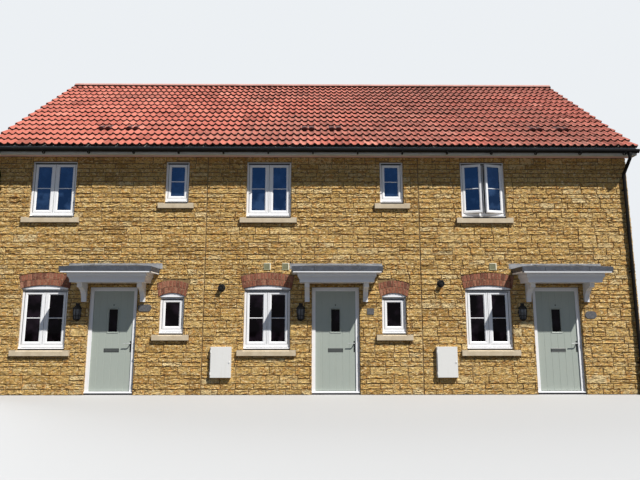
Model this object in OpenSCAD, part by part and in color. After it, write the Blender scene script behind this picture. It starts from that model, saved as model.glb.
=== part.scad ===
// Terraced row of three two-storey houses, from ground level up, in millimetres.
// X runs along the row, -Y is the street front, Z is up. The origin lies on the ground
// under the middle of the row.

/* [Row] */
// Width of one house between its party lines
house_w = 4400; // [4300:20:4800]
// How much further apart the houses' openings are than the party lines
bay_extra = 80; // [0:10:120]
// Depth from the front wall face to the rear wall face
depth = 7760; // [6600:20:8600]
// Thickness of the outer walls
wall_t = 300; // [280:5:350]
// Thickness of a party wall
party_t = 250; // [200:10:300]
// Top of the ground floor above the ground
ground_floor = 50; // [30:5:60]
// Top of the first floor above the ground
first_floor = 2580; // [2500:10:2700]
// Thickness of the first floor
floor_t = 250; // [200:10:300]
// Width of the sealed movement joints in the outer walls
seal_w = 12; // [8:1:20]

/* [Roof] */
// Pitch of the roof in degrees
pitch = 35; // [30:1:40]
// Thickness of the tiled roof, square to the slope
roof_t = 80; // [60:5:110]
// Underside of the soffit boards above the ground
soffit_z = 4820; // [4780:10:5000]
// Width of the soffit, from the wall face to the fascia
soffit_w = 300; // [200:10:400]
// Thickness of the soffit board
soffit_t = 12; // [9:1:20]
// Thickness of the fascia board
fascia_t = 18; // [12:1:25]
// Height of the fascia board
fascia_h = 128; // [115:1:145]
// How far the tiles reach past the fascia
tile_over = 50; // [30:5:60]
// How far the roof reaches past the gable walls
verge_over = 110; // [40:5:160]
// Outer radius of the half-round ridge tiles
ridge_r = 100; // [90:5:140]
// Length of one ridge tile
ridge_len = 450; // [300:10:500]
// Width of the gutter
gutter_w = 112; // [100:1:125]
// Diameter of the downpipes
pipe_d = 68; // [60:1:75]
// Distance of a downpipe's centre from the end of the row
pipe_inset = 80; // [60:5:150]

/* [Windows] */
// Width of a two-light window
large_w = 930; // [860:10:960]
// Width of a one-light window
small_w = 488; // [450:2:520]
// Centre of the two-light windows from their house's left party line
large_in = 1280; // [1240:5:1340]
// Centre of the one-light windows from their house's right party line
small_in = 555; // [520:5:600]
// Height of the heads of the upper windows
upper_head = 4720; // [4640:10:4740]
// Height of an upper two-light window
upper_large_h = 1190; // [1100:10:1250]
// Height of an upper one-light window
upper_small_h = 890; // [800:10:950]
// Height of the frame heads of the lower two-light windows
lower_head = 2055; // [2000:5:2080]
// Height of a lower two-light window
lower_large_h = 1195; // [1100:5:1250]
// Height of the frame heads of the lower one-light windows
lower_small_head = 1900; // [1850:5:1950]
// Height of a lower one-light window
lower_small_h = 740; // [680:5:800]
// Distance from the wall face back to the frames
reveal = 50; // [40:5:120]
// Depth of the window and door frames
frame_d = 70; // [60:2:80]
// Face width of an outer frame
frame_f = 50; // [40:1:60]
// Face width of a casement's stiles and rails
sash_f = 52; // [45:1:60]
// Face width of the mullion between two lights
mullion_f = 59; // [50:1:70]
// Height of the frame's own cill piece
cill_h = 60; // [30:5:80]
// Thickness of a sealed glass unit
glass_t = 24; // [20:1:28]
// How far the open casements stand open, in degrees
ajar = 16; // [5:1:30]

/* [Masonry trim] */
// Height of the window sills
sill_h = 110; // [90:5:130]
// How far a sill stands out from the wall
sill_out = 50; // [30:5:70]
// How far a sill is built in past the opening on each side
sill_ear = 120; // [80:5:140]
// Rise of the brick arches
arch_rise = 60; // [40:5:80]
// Height of the brick arches, square to their curve
arch_h = 255; // [200:5:280]
// Depth of the brick arches into the wall
arch_d = 100; // [80:5:110]
// How far the foot of a brick arch reaches past its opening
arch_foot = 30; // [15:5:40]
// How far the top of a brick arch reaches past its opening
arch_spread = 80; // [50:5:100]
// Height of the flat part of the white head over a lower frame
head_flat = 25; // [15:5:40]

/* [Doors] */
// Width of a doorway in the wall
door_w = 960; // [920:10:1000]
// Height of a doorway in the wall
door_h = 2100; // [2050:10:2150]
// Centre of the doorways from the middle of their house
door_x = 461; // [440:1:480]
// Face width of the door frame beside the leaf
jamb_f = 76; // [70:1:85]
// Thickness of the door leaf
leaf_t = 44; // [40:1:48]
// Height of the threshold
threshold_h = 55; // [50:1:60]
// Clearance round the door leaf
leaf_gap = 7; // [7:0.5:9]
// Width of the vision panel in a door
vision_w = 174; // [140:2:200]
// Height of the vision panel in a door
vision_h = 445; // [400:5:500]
// Height of the bottom of the vision panel
vision_z = 1217; // [1180:1:1250]

/* [Canopies] */
// Centre of a canopy from the middle of its house
canopy_x = 476; // [460:1:480]
// Width of a canopy's moulding over its lip
canopy_w = 1724; // [1640:4:1760]
// How far the lip stands out from the wall
canopy_out = 615; // [540:5:640]
// Height of the lip
lip_h = 29; // [20:1:35]
// How far the lip stands out past the moulded face
lip_out = 92; // [60:2:110]
// How far the hollow moulding leans back at the bottom
canopy_cove = 40; // [25:5:50]
// Underside of a canopy above the top of the door frame
canopy_lift = 78; // [70:2:100]
// Height of a canopy's moulding with its lip
canopy_h = 209; // [190:1:220]
// How far the lead top reaches past the lip
lead_over = 25; // [15:5:40]
// Height of the drip edge of the lead top
drip_h = 90; // [60:5:100]
// Rise of the lead top from its drip edge to the wall
lead_rise = 75; // [50:5:100]
// How far the lead flashing reaches along the wall past the lead top
flash_over = 60; // [30:10:100]
// Distance of a bracket's centre from the end of the lip
bracket_in = 274; // [240:2:300]
// Thickness of a canopy bracket
bracket_w = 95; // [80:5:110]
// Height of a canopy bracket
bracket_h = 370; // [330:10:400]
// How far a canopy bracket stands out at the top
bracket_out = 330; // [280:10:400]

/* [Fittings] */
// Width of a meter box
meter_w = 410; // [380:5:430]
// Height of a meter box
meter_h = 590; // [560:5:610]
// Depth of a meter box with its door
meter_d = 95; // [80:5:240]
// Underside of a meter box above the ground
meter_z = 335; // [300:5:400]
// Thickness of the meter box shell and door
meter_t = 6; // [4:1:10]
// Width of the wall vents
vent_w = 140; // [120:5:160]
// Outer diameter of the boiler flue collars
flue_d = 150; // [120:5:170]

/* [Hidden] */
$fn = 48;
e = 1;
curve_fit = 0.3;
arch_lift = 0.5;

// Plan
row_w = 3 * house_w;
bay_pitch = house_w + bay_extra;
gutter_out = soffit_w + fascia_t + gutter_w;
canopy_reach = canopy_out + lead_over;
front_y = -(depth + gutter_out - canopy_reach) / 2;
inner_d = depth - 2 * wall_t;
party_x = [-house_w / 2, house_w / 2];
houses = [0, 1, 2];
large_x = large_in - house_w / 2;
small_x = house_w / 2 - small_in;
function bay(i) = (i - 1) * bay_pitch;

// Canopies stand over the door frames
canopy_z = door_h + canopy_lift;

// Roof planes, as heights over a distance y from the nearer wall face
slope = tan(pitch);
roof_v = roof_t / cos(pitch);
eave_y = -(soffit_w + fascia_t + tile_over);
fascia_z = soffit_z - 20;
eave_top = fascia_z + fascia_h + roof_v - (tile_over + fascia_t / 2) * slope;
function roof_top(y) = eave_top + (y - eave_y) * slope;
function roof_under(y) = roof_top(y) - roof_v;
function wall_under(y) = roof_under(y) - curve_fit;
wall_top = soffit_z + 180;
apex = roof_top(depth / 2);

// Windows as [x, sill height, width, frame height, whether it has an arch]
upper_large = [for (i = houses)
    [bay(i) + large_x, upper_head - upper_large_h, large_w, upper_large_h, false]];
upper_small = [for (i = [0, 1])
    [bay(i) + small_x, upper_head - upper_small_h, small_w, upper_small_h, false]];
lower_large = [for (i = houses)
    [bay(i) + large_x, lower_head - lower_large_h, large_w, lower_large_h, true]];
lower_small = [for (i = [0, 1])
    [bay(i) + small_x, lower_small_head - lower_small_h, small_w, lower_small_h, true]];
upper_all = concat(upper_large, upper_small);
lower_all = concat(lower_large, lower_small);
all_windows = concat(upper_all, lower_all);
frame_y = reveal + frame_d;
light_edge = frame_f + sash_f;
glass_y = reveal + 24;
glass_rebate = 12;
sash_d = frame_d - 14;
sash_step = 4;

// Doors
stop_d = 20;
jamb_in = jamb_f - 14;
leaf_w = door_w - 2 * jamb_in - 2 * leaf_gap;
leaf_z = threshold_h + 13;
leaf_top = door_h - jamb_in - leaf_gap;
leaf_y = frame_y - leaf_t;
hinge_x = -leaf_w / 2 - 3;
hinge_y = frame_y + 7.5;
hinge_r = 7;
hinge_h = 100;
hinge_zs = [220, 1000, 1780];
handle_x = leaf_w / 2 - 36;
handle_z = 870;
letter_z = 855;

// Places for what stands on the front and on the rear wall
module at_front() {
    translate([0, front_y, 0]) children();
}

module at_rear() {
    translate([0, front_y + depth, 0]) mirror([0, 1, 0]) children();
}

// A flat outline in X and Z, made t thick from y0 inwards
module upright(y0, t) {
    translate([0, y0 + t, 0]) rotate([90, 0, 0]) linear_extrude(t) children();
}

// A flat outline in Y and Z, made w wide and centred on x
module crosswise(x, w) {
    translate([x - w / 2, 0, 0]) rotate([90, 0, 90]) linear_extrude(w) children();
}

// Radius of a segmental arch of a given span
function arch_r(w) = (w * w / 4 + arch_rise * arch_rise) / (2 * arch_rise);

// Everything under a curve that is grow outside the arch, between two upright sides
module arch_area(w, spring, grow, side) {
    r = arch_r(w);
    intersection() {
        translate([0, spring + arch_lift + arch_rise - r]) circle(r + grow, $fn = 360);
        translate([-w / 2 - side, spring - 20]) square([w + 2 * side, arch_rise + grow + 60]);
    }
}

// The clear opening of a window in the wall
module opening_area(win) {
    w = win[2];
    translate([win[0], win[1]]) {
        translate([-w / 2, 0]) square([w, win[3]]);
        if (win[4]) {
            translate([-w / 2, win[3] - e]) square([w, head_flat + e]);
            arch_area(w, win[3] + head_flat, 0, 0);
        }
    }
}

// The pocket that an arch is built into, from its springing up between two leaning skewbacks
module arch_pocket(win, slack) {
    w = win[2];
    spring = win[3] + head_flat;
    foot = w / 2 + arch_foot - slack;
    top = w / 2 + arch_spread - slack;
    translate([win[0], win[1]]) intersection() {
        arch_area(w, spring, arch_h - slack, arch_spread);
        polygon([
            [-foot, spring], [foot, spring], [top, spring + arch_h], [top, spring + arch_h + arch_rise],
            [-top, spring + arch_h + arch_rise], [-top, spring + arch_h]
        ]);
    }
}

// The outline of a brick arch, closed below by its own curve
module arch_outline(win) {
    difference() {
        arch_pocket(win, curve_fit);
        translate([win[0], win[1]]) arch_area(win[2], win[3] + head_flat, 0, arch_foot);
    }
}

// What a window takes out of its wall: the opening, the sill's bed and the arch's pocket
module window_cut(win) {
    upright(-e, wall_t + 2 * e) opening_area(win);
    translate([win[0] - win[2] / 2 - sill_ear, -e, win[1] - sill_h])
        cube([win[2] + 2 * sill_ear, frame_y + e, sill_h]);
    if (win[4]) upright(-e, arch_d + e) arch_pocket(win, 0);
}

// Masonry
module wall_panel(x0, x1, z0) {
    translate([x0, 0, z0]) cube([x1 - x0, wall_t, wall_top - z0]);
}

module joint_cut() {
    for (x = party_x) translate([x - seal_w / 2, -e, -e]) cube([seal_w, 15 + e, wall_top + 2 * e]);
}

module front_part(x0, x1) {
    color("goldenrod") at_front() difference() {
        wall_panel(x0, x1, 0);
        for (win = all_windows) if (win[0] > x0 && win[0] < x1) window_cut(win);
        joint_cut();
    }
}

function door_left(i) = bay(i) + door_x - door_w / 2;
function door_right(i) = bay(i) + door_x + door_w / 2;

module front_wall_left() {
    front_part(-row_w / 2, door_left(0));
}

module front_wall_middle_left() {
    front_part(door_right(0), door_left(1));
}

module front_wall_middle_right() {
    front_part(door_right(1), door_left(2));
}

module front_wall_right() {
    front_part(door_right(2), row_w / 2);
}

module front_wall_over_doors() {
    color("goldenrod") at_front() for (i = houses) wall_panel(door_left(i), door_right(i), door_h);
}

module rear_wall() {
    color("goldenrod") at_rear() difference() {
        wall_panel(-row_w / 2, row_w / 2, 0);
        for (win = all_windows) window_cut(win);
        joint_cut();
    }
}

// A gable wall fits between the long walls and covers their ends' tops
module gable_outline() {
    polygon([
        [wall_t, 0], [depth - wall_t, 0], [depth - wall_t, wall_top], [depth, wall_top],
        [depth, wall_under(0)], [depth / 2, wall_under(depth / 2)], [0, wall_under(0)],
        [0, wall_top], [wall_t, wall_top]
    ]);
}

module gable_wall_left() {
    color("goldenrod") at_front() crosswise(-(row_w - wall_t) / 2, wall_t) gable_outline();
}

module gable_wall_right() {
    color("goldenrod") at_front() crosswise((row_w - wall_t) / 2, wall_t) gable_outline();
}

module party_walls() {
    color("darkkhaki") at_front() for (x = party_x) crosswise(x, party_t) polygon([
        [wall_t, 0], [depth - wall_t, 0], [depth - wall_t, wall_under(wall_t)],
        [depth / 2, wall_under(depth / 2)], [wall_t, wall_under(wall_t)]
    ]);
}

// Left and right faces of each house's rooms
function room_left(i) = i == 0 ? -row_w / 2 + wall_t : party_x[i - 1] + party_t / 2;
function room_right(i) = i == 2 ? row_w / 2 - wall_t : party_x[i] - party_t / 2;

module floor_slabs(top, t) {
    at_front() for (i = houses)
        translate([room_left(i), wall_t, top - t]) cube([room_right(i) - room_left(i), inner_d, t]);
}

module ground_floors() {
    color("gray") floor_slabs(ground_floor, ground_floor);
}

module first_floors() {
    color("tan") floor_slabs(first_floor, floor_t);
}

module movement_joints() {
    color("dimgray") for (side = [0, 1]) {
        if (side == 0) at_front() joint_seals();
        if (side == 1) at_rear() joint_seals();
    }
}

module joint_seals() {
    for (x = party_x) translate([x - seal_w / 2, 3, 0]) cube([seal_w, 12, wall_top]);
}

module arches_on_wall() {
    for (win = lower_all) upright(0, arch_d) arch_outline(win);
}

module brick_arches() {
    color("indianred") {
        at_front() arches_on_wall();
        at_rear() arches_on_wall();
    }
}

// A sill with a sloped top between flat stools, and a drip groove below its front
module sill(win) {
    w = win[2];
    fall = 14;
    translate([win[0], 0, win[1]]) {
        crosswise(0, w) polygon([
            [-sill_out, -fall], [reveal, 0], [frame_y, 0], [frame_y, -sill_h],
            [-sill_out + 26, -sill_h], [-sill_out + 26, -sill_h + 8],
            [-sill_out + 16, -sill_h + 8], [-sill_out + 16, -sill_h], [-sill_out, -sill_h]
        ]);
        for (s = [-1, 1])
            translate([s * (w + sill_ear) / 2 - sill_ear / 2, -sill_out, -sill_h])
                cube([sill_ear, frame_y + sill_out, sill_h]);
    }
}

module window_sills() {
    color("wheat") {
        at_front() for (win = all_windows) sill(win);
        at_rear() for (win = all_windows) sill(win);
    }
}

// Windows
function lights(win) = win[2] > (large_w + small_w) / 2 ? 2 : 1;
function light_w(win) = lights(win) == 2
    ? (win[2] - 2 * frame_f - mullion_f) / 2
    : win[2] - 2 * frame_f;
function light_xs(win) = lights(win) == 2
    ? [-(light_w(win) + mullion_f) / 2, (light_w(win) + mullion_f) / 2]
    : [0];
function light_h(win) = win[3] - cill_h - 2 * frame_f;

// Outer frame with a hole for each light, and the curved head over an arched window
module outer_frame(win) {
    w = win[2];
    lw = light_w(win);
    lh = light_h(win);
    difference() {
        union() {
            translate([win[0] - w / 2, reveal, win[1]]) cube([w, frame_d, win[3]]);
            translate([win[0] - w / 2, reveal - 25, win[1]]) cube([w, 26, cill_h * 0.6]);
        }
        for (x = light_xs(win))
            translate([win[0] + x - lw / 2, reveal - e, win[1] + cill_h + frame_f])
                cube([lw, frame_d + 2 * e, lh]);
    }
    if (win[4]) upright(reveal - 40, frame_d + 40) translate([win[0], win[1]]) difference() {
        union() {
            translate([-w / 2, win[3]]) square([w, head_flat]);
            arch_area(w, win[3] + head_flat, -curve_fit, 0);
        }
        translate([-w / 2 - e, win[3] - 30]) square([w + 2 * e, 30]);
    }
}

// One casement: a frame of stiles and rails round its glass
module casement(lw, lh) {
    difference() {
        translate([-lw / 2, 0, 0]) cube([lw, sash_d, lh]);
        translate([-lw / 2 + sash_f, -e, sash_f])
            cube([lw - 2 * sash_f, sash_d + 2 * e, lh - 2 * sash_f]);
    }
}

module closed_window(win) {
    outer_frame(win);
    for (x = light_xs(win))
        translate([win[0] + x, reveal + sash_step, win[1] + cill_h + frame_f])
            casement(light_w(win), light_h(win));
}

// The glass of each closed light lies inside the casement's hole
module window_glass(win) {
    lw = light_w(win) - 2 * sash_f;
    for (x = light_xs(win))
        translate([win[0] + x - lw / 2, glass_y, win[1] + cill_h + light_edge])
            cube([lw, glass_t, light_h(win) - 2 * sash_f]);
}

open_window = upper_large[2];

module upper_windows() {
    color("white") at_front() for (win = upper_all) {
        if (win == open_window) outer_frame(win);
        else closed_window(win);
    }
}

module lower_windows() {
    color("white") at_front() for (win = lower_all) closed_window(win);
}

module rear_windows() {
    color("white") at_rear() for (win = all_windows) closed_window(win);
}

// Turns a casement of the open window outwards about its outer edge
module ajar_light(side) {
    win = open_window;
    lw = light_w(win) - 4;
    translate([win[0] + side * (win[2] / 2 - frame_f - 0.4), reveal, win[1] + cill_h + frame_f + 2])
        rotate([0, 0, side * ajar])
            translate([-side * lw / 2, -6, 0]) children();
}

module open_casements() {
    win = open_window;
    color("white") at_front() for (side = [-1, 1])
        ajar_light(side) casement(light_w(win) - 4, light_h(win) - 4);
}

module ajar_glass(side) {
    win = open_window;
    lw = light_w(win) - 4 - 2 * sash_f;
    ajar_light(side) translate([-lw / 2, glass_y - reveal, sash_f])
        cube([lw, glass_t, light_h(win) - 4 - 2 * sash_f]);
}

module upper_glass() {
    color("lightcyan", 0.4) at_front() {
        for (win = upper_all) if (win != open_window) window_glass(win);
        for (side = [-1, 1]) ajar_glass(side);
    }
}

module lower_glass() {
    color("lightcyan", 0.4) at_front() for (win = lower_all) window_glass(win);
}

module rear_glass() {
    color("lightcyan", 0.4) at_rear() for (win = all_windows) window_glass(win);
}

// Roof
module roof_slab() {
    crosswise(0, row_w + 2 * verge_over) polygon([
        [eave_y, roof_top(eave_y)], [depth / 2, apex],
        [depth / 2, apex - roof_v], [eave_y, roof_under(eave_y)]
    ]);
}

module roof_front() {
    color("salmon") at_front() roof_slab();
}

module roof_rear() {
    color("salmon") at_rear() roof_slab();
}

ridge_n = floor((row_w + 2 * verge_over) / ridge_len);
ridge_pitch = (row_w + 2 * verge_over) / ridge_n;
ridge_gap = 8;

// Half-round tiles bedded on both slopes
module ridge_tiles() {
    color("tomato") at_front() for (k = [0 : ridge_n - 1])
        crosswise(-row_w / 2 - verge_over + (k + 0.5) * ridge_pitch, ridge_pitch - ridge_gap)
            difference() {
                translate([depth / 2, apex - ridge_r / 2]) circle(ridge_r);
                translate([depth / 2, apex - ridge_r / 2]) circle(ridge_r - 15);
                translate([depth / 2, apex + curve_fit]) polygon([
                    [0, 0], [2 * ridge_r, -2 * ridge_r * slope], [2 * ridge_r, -3 * ridge_r],
                    [-2 * ridge_r, -3 * ridge_r], [-2 * ridge_r, -2 * ridge_r * slope]
                ]);
            }
}

eave_len = row_w + 2 * verge_over - 20;

// Fascia board with a box end at each gable
module fascia_side() {
    crosswise(0, eave_len) polygon([
        [-soffit_w - fascia_t, fascia_z], [-soffit_w, fascia_z],
        [-soffit_w, roof_under(-soffit_w)],
        [-soffit_w - fascia_t, roof_under(-soffit_w - fascia_t)]
    ]);
    for (s = [-1, 1]) crosswise(s * (eave_len - fascia_t) / 2, fascia_t) polygon([
        [-soffit_w, fascia_z], [0, fascia_z],
        [0, roof_under(0)], [-soffit_w, roof_under(-soffit_w)]
    ]);
}

module fascias() {
    color("white") {
        at_front() fascia_side();
        at_rear() fascia_side();
    }
}

module soffit_side() {
    translate([-(eave_len / 2 - fascia_t), -soffit_w, soffit_z])
        cube([eave_len - 2 * fascia_t, soffit_w, soffit_t]);
}

module soffits() {
    color("white") {
        at_front() soffit_side();
        at_rear() soffit_side();
    }
}

// Rainwater goods
gutter_t = 3;
gutter_r = gutter_w / 2;
gutter_y = -soffit_w - fascia_t - gutter_r;
gutter_z = fascia_z + 30 + gutter_r;
gutter_lip = 20;
gutter_len = row_w + 2 * verge_over;
pipe_x = row_w / 2 - pipe_inset;
pipe_y = -pipe_d / 2 - 32;
outlet_z = gutter_z - gutter_r - 40;
shoe_tilt = 128;
clip_h = 30;
clip_low = 600;
clip_under_floor = 180;
clip_under_eaves = 720;
clip_zs = [clip_low, first_floor - clip_under_floor, soffit_z - clip_under_eaves];

module gutter_section(r) {
    difference() {
        circle(r);
        translate([-r - e, 0]) square([2 * r + 2 * e, r + e]);
    }
    translate([-r, 0]) square([2 * r, gutter_lip]);
}

module gutter_side() {
    difference() {
        union() {
            translate([0, gutter_y, gutter_z]) crosswise(0, gutter_len) gutter_section(gutter_r);
            for (s = [-1, 1]) translate([s * pipe_x, gutter_y, outlet_z])
                cylinder(h = 60, d = pipe_d + 10);
        }
        translate([0, gutter_y, gutter_z]) {
            crosswise(0, gutter_len - 2 * gutter_t) gutter_section(gutter_r - gutter_t);
            crosswise(0, gutter_len + 2 * e) translate([-gutter_r + gutter_t, 0])
                square([2 * (gutter_r - gutter_t), gutter_lip + e]);
        }
        for (s = [-1, 1]) translate([s * pipe_x, gutter_y, outlet_z - e])
            cylinder(h = 60, d = pipe_d - 6);
    }
}

module gutters() {
    color("black") {
        at_front() gutter_side();
        at_rear() gutter_side();
    }
}

// A length of pipe between two points of the route, with a socket at its lower end
module pipe_leg(from, to) {
    run = to - from;
    l = norm(run);
    translate([0, from[0], from[1]]) rotate([-atan2(run[0], run[1]), 0, 0]) cylinder(h = l, d = pipe_d);
    translate([0, to[0], to[1]]) sphere(d = pipe_d + 10, $fn = 20);
}

// Downpipe with its swan neck, shoe, and the clips that hold it to the wall
module downpipe() {
    top = [gutter_y, outlet_z];
    neck_top = [gutter_y, outlet_z - 60];
    neck_foot = [pipe_y, outlet_z - 330];
    shoe = [pipe_y, 130];
    difference() {
        union() {
            pipe_leg(top, neck_top);
            pipe_leg(neck_top, neck_foot);
            pipe_leg(neck_foot, shoe);
            translate([0, shoe[0], shoe[1]]) rotate([shoe_tilt, 0, 0]) cylinder(h = 114, d = pipe_d);
            for (z = clip_zs) {
                translate([0, pipe_y, z]) cylinder(h = clip_h, d = pipe_d + 8);
                translate([-30, pipe_y, z]) cube([60, -pipe_y, clip_h]);
            }
        }
        translate([0, shoe[0], shoe[1]]) rotate([shoe_tilt, 0, 0])
            translate([0, 0, 60]) cylinder(h = 60, d = pipe_d - 6);
    }
}

module downpipes() {
    color("black") {
        at_front() for (s = [-1, 1]) translate([s * pipe_x, 0, 0]) downpipe();
        at_rear() for (s = [-1, 1]) translate([s * pipe_x, 0, 0]) downpipe();
    }
}

// Doors
module door_frame(i) {
    translate([bay(i) + door_x, 0, 0]) {
        door_lining();
        for (z = hinge_zs) translate([hinge_x - hinge_r - 0.4 - 30, frame_y - e, z])
            cube([30, 13 + e, hinge_h]);
    }
}

// Jambs, head and threshold, with a stop in front of the leaf
module door_lining() {
    difference() {
        translate([-door_w / 2, reveal, 0]) cube([door_w, frame_d, door_h]);
        translate([-door_w / 2 + jamb_f, reveal - e, threshold_h])
            cube([door_w - 2 * jamb_f, frame_d + 2 * e, door_h - jamb_f - threshold_h]);
        translate([-door_w / 2 + jamb_in, reveal + stop_d, threshold_h])
            cube([door_w - 2 * jamb_in, frame_d, door_h - jamb_in - threshold_h]);
    }
}

module door_frames() {
    color("white") at_front() for (i = houses) door_frame(i);
}

module at_door(i) {
    at_front() translate([bay(i) + door_x, 0, 0]) children();
}

module door_leaf() {
    difference() {
        translate([-leaf_w / 2, leaf_y, leaf_z]) cube([leaf_w, leaf_t, leaf_top - leaf_z]);
        translate([-vision_w / 2, leaf_y - e, vision_z]) cube([vision_w, leaf_t + 2 * e, vision_h]);
    }
}

module door_pane() {
    translate([-vision_w / 2, leaf_y + 10, vision_z]) cube([vision_w, glass_t, vision_h]);
}

// Lever handle on its plate, on one face of the leaf
module lever_set() {
    translate([handle_x - 15, -8, handle_z - 50]) cube([30, 8, 220]);
    translate([handle_x, -46, handle_z]) rotate([-90, 0, 0]) cylinder(h = 40, r = 10);
    translate([handle_x - 125, -54, handle_z - 9]) cube([135, 12, 18]);
}

// Handles, letter plates and hinge barrels that swing with one door
module door_fittings() {
    translate([0, leaf_y, 0]) {
        lever_set();
        translate([-152, -7, letter_z - 38]) cube([305, 7, 76]);
    }
    translate([0, leaf_y + leaf_t, 0]) mirror([0, 1, 0]) {
        lever_set();
        translate([-152, -7, letter_z - 38]) cube([305, 7, 76]);
    }
    for (z = hinge_zs) {
        translate([hinge_x, hinge_y, z]) cylinder(h = hinge_h, r = hinge_r);
        translate([hinge_x + 3, frame_y, z]) cube([50, 6, hinge_h]);
        translate([hinge_x, frame_y + 3, z]) cube([8, 6, hinge_h]);
    }
}

module door_1() {
    color("darkseagreen") at_door(0) door_leaf();
}

module door_2() {
    color("darkseagreen") at_door(1) door_leaf();
}

module door_3() {
    color("darkseagreen") at_door(2) door_leaf();
}

module door_1_glass() {
    color("lightcyan", 0.4) at_door(0) door_pane();
}

module door_2_glass() {
    color("lightcyan", 0.4) at_door(1) door_pane();
}

module door_3_glass() {
    color("lightcyan", 0.4) at_door(2) door_pane();
}

module door_1_handles() {
    color("black") at_door(0) door_fittings();
}

module door_2_handles() {
    color("black") at_door(1) door_fittings();
}

module door_3_handles() {
    color("black") at_door(2) door_fittings();
}

// Canopies
module at_canopy(i) {
    at_front() translate([bay(i) + canopy_x, 0, 0]) children();
}

// Half the outline of the moulding: a projecting lip, a flat band and a hollow cove over a flat foot
module cove_outline(out) {
    band = 35;
    foot = 22;
    face = lip_out - out;
    r = canopy_h - lip_h - band - foot;
    difference() {
        translate([-out, 0]) square([out, canopy_h]);
        translate([-out - e, -e]) square([lip_out + e, canopy_h - lip_h + e]);
        translate([face - e, -e]) square([canopy_cove + e, foot + e]);
        intersection() {
            translate([face - e, foot - e]) square([canopy_cove + e, r + e]);
            translate([face + canopy_cove - r, foot]) circle(r, $fn = 96);
        }
    }
}

module canopy_body() {
    half = canopy_w / 2;
    translate([0, 0, canopy_z]) intersection() {
        crosswise(0, canopy_w) cove_outline(canopy_out);
        upright(-canopy_out, canopy_out) {
            cove_outline(half);
            mirror([1, 0]) cove_outline(half);
        }
    }
}

module canopies() {
    color("white") for (i = houses) at_canopy(i) canopy_body();
}

// Hipped lead top with an upright drip edge, and the flashing along the wall
module lead_top() {
    half = canopy_w / 2 + lead_over;
    hip = 430;
    translate([0, 0, canopy_z + canopy_h]) {
        intersection() {
            crosswise(0, 2 * half) polygon([
                [-canopy_reach, 0], [0, 0], [0, drip_h + lead_rise], [-canopy_reach, drip_h]
            ]);
            upright(-canopy_reach, canopy_reach) polygon([
                [-half, 0], [half, 0], [half, drip_h], [half - hip, drip_h + lead_rise],
                [-half + hip, drip_h + lead_rise], [-half, drip_h]
            ]);
        }
        translate([-half - flash_over, -4, drip_h]) cube([2 * (half + flash_over), 4, lead_rise + 33]);
    }
}

module canopy_roofs() {
    color("slategray") for (i = houses) at_canopy(i) lead_top();
}

// Curved gallows bracket: square at the top, hollowed below towards a small foot
module bracket_outline() {
    foot = 60;
    nose = 90;
    r = bracket_out - foot;
    difference() {
        translate([-bracket_out, -bracket_h]) square([bracket_out, bracket_h]);
        translate([-bracket_out, -nose - r]) circle(r, $fn = 96);
        translate([-bracket_out - e, -bracket_h - e])
            square([r + e, bracket_h - nose - r + e]);
    }
}

module canopy_brackets() {
    x = canopy_w / 2 - bracket_in;
    color("white") for (i = houses) at_canopy(i) for (s = [-1, 1])
        translate([0, 0, canopy_z]) crosswise(s * x, bracket_w) bracket_outline();
}

// Fittings on the wall
lantern_x = -240;
lantern_z = 1430;

// Half-round lantern on a back plate
module lantern() {
    translate([-40, -6, 20]) cube([80, 6, 330]);
    translate([0, -6, 0]) rotate([0, 0, 180]) rotate_extrude(angle = 180) polygon([
        [0, 10], [25, 10], [25, 25], [48, 30], [74, 230], [86, 234], [86, 244], [52, 280],
        [22, 300], [14, 340], [0, 344]
    ]);
}

module wall_lanterns() {
    color("black") at_front() for (i = houses)
        translate([bay(i) + lantern_x, 0, lantern_z]) lantern();
}

// A plate with round ends
module round_plate(w, h) {
    for (s = [-1, 1]) translate([s * (w - h) / 2, 0]) circle(d = h);
    translate([-(w - h) / 2, -h / 2]) square([w - h, h]);
}

// Plaques as [distance of the centre from the doorway's side, height, width, height of the plate]
plaques = [[163, 1688, 268, 140], [224, 1617, 140, 120], [199, 1550, 230, 150]];
plaque_t = 14;

module number_plaques() {
    color("silver") at_front() for (i = houses) {
        p = plaques[i];
        upright(-plaque_t, plaque_t) translate([door_right(i) + p[0], p[1]]) {
            if (i == 1) square([p[2], p[3]], center = true);
            else round_plate(p[2], p[3]);
        }
    }
}

vent_z = 2453;
canopy_end = canopy_w / 2 + lead_over + flash_over;
vent_xs = [
    bay(1) + large_x - 8, bay(1) + canopy_x - canopy_end - vent_w / 2 - 10, bay(2) + large_x + 124
];

// Square louvred vent
module wall_vent() {
    blades = 5;
    step = (vent_w - 20) / blades;
    difference() {
        translate([-vent_w / 2, -16, 0]) cube([vent_w, 16, vent_w]);
        for (k = [0 : blades - 1])
            translate([-vent_w / 2 + 12, -16 - e, 10 + k * step + 6])
                cube([vent_w - 24, 11, step - 10]);
    }
}

module wall_vents() {
    color("tan") at_front() for (x = vent_xs) translate([x, 0, vent_z]) wall_vent();
}

flue_in = [355, 323];
flue_zs = [2088, 2178];
flue_places = [for (i = [0, 1]) [bay(i + 1) - house_w / 2 + flue_in[i], flue_zs[i]]];

// Round flue end in its wall collar
module flue() {
    rotate([90, 0, 0]) difference() {
        union() {
            cylinder(h = 18, d = flue_d);
            cylinder(h = 110, d = 100);
        }
        translate([0, 0, 18]) cylinder(h = 110, d = 84);
    }
    rotate([90, 0, 0]) {
        translate([0, 0, 10]) cylinder(h = 92, d = 56);
        translate([0, 0, 88]) cylinder(h = 6, d = 86);
    }
}

module boiler_flues() {
    color("black") at_front() for (p = flue_places) translate([p[0], 0, p[1]]) flue();
}

meter_in = 385;
meter_x = meter_in - house_w / 2;
meter_gap = 5;
meter_axis_y = -meter_d - 1;

meter_barrel = 50;
meter_barrel_zs = [meter_z + 60, meter_z + meter_h - 60 - meter_barrel];

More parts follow.
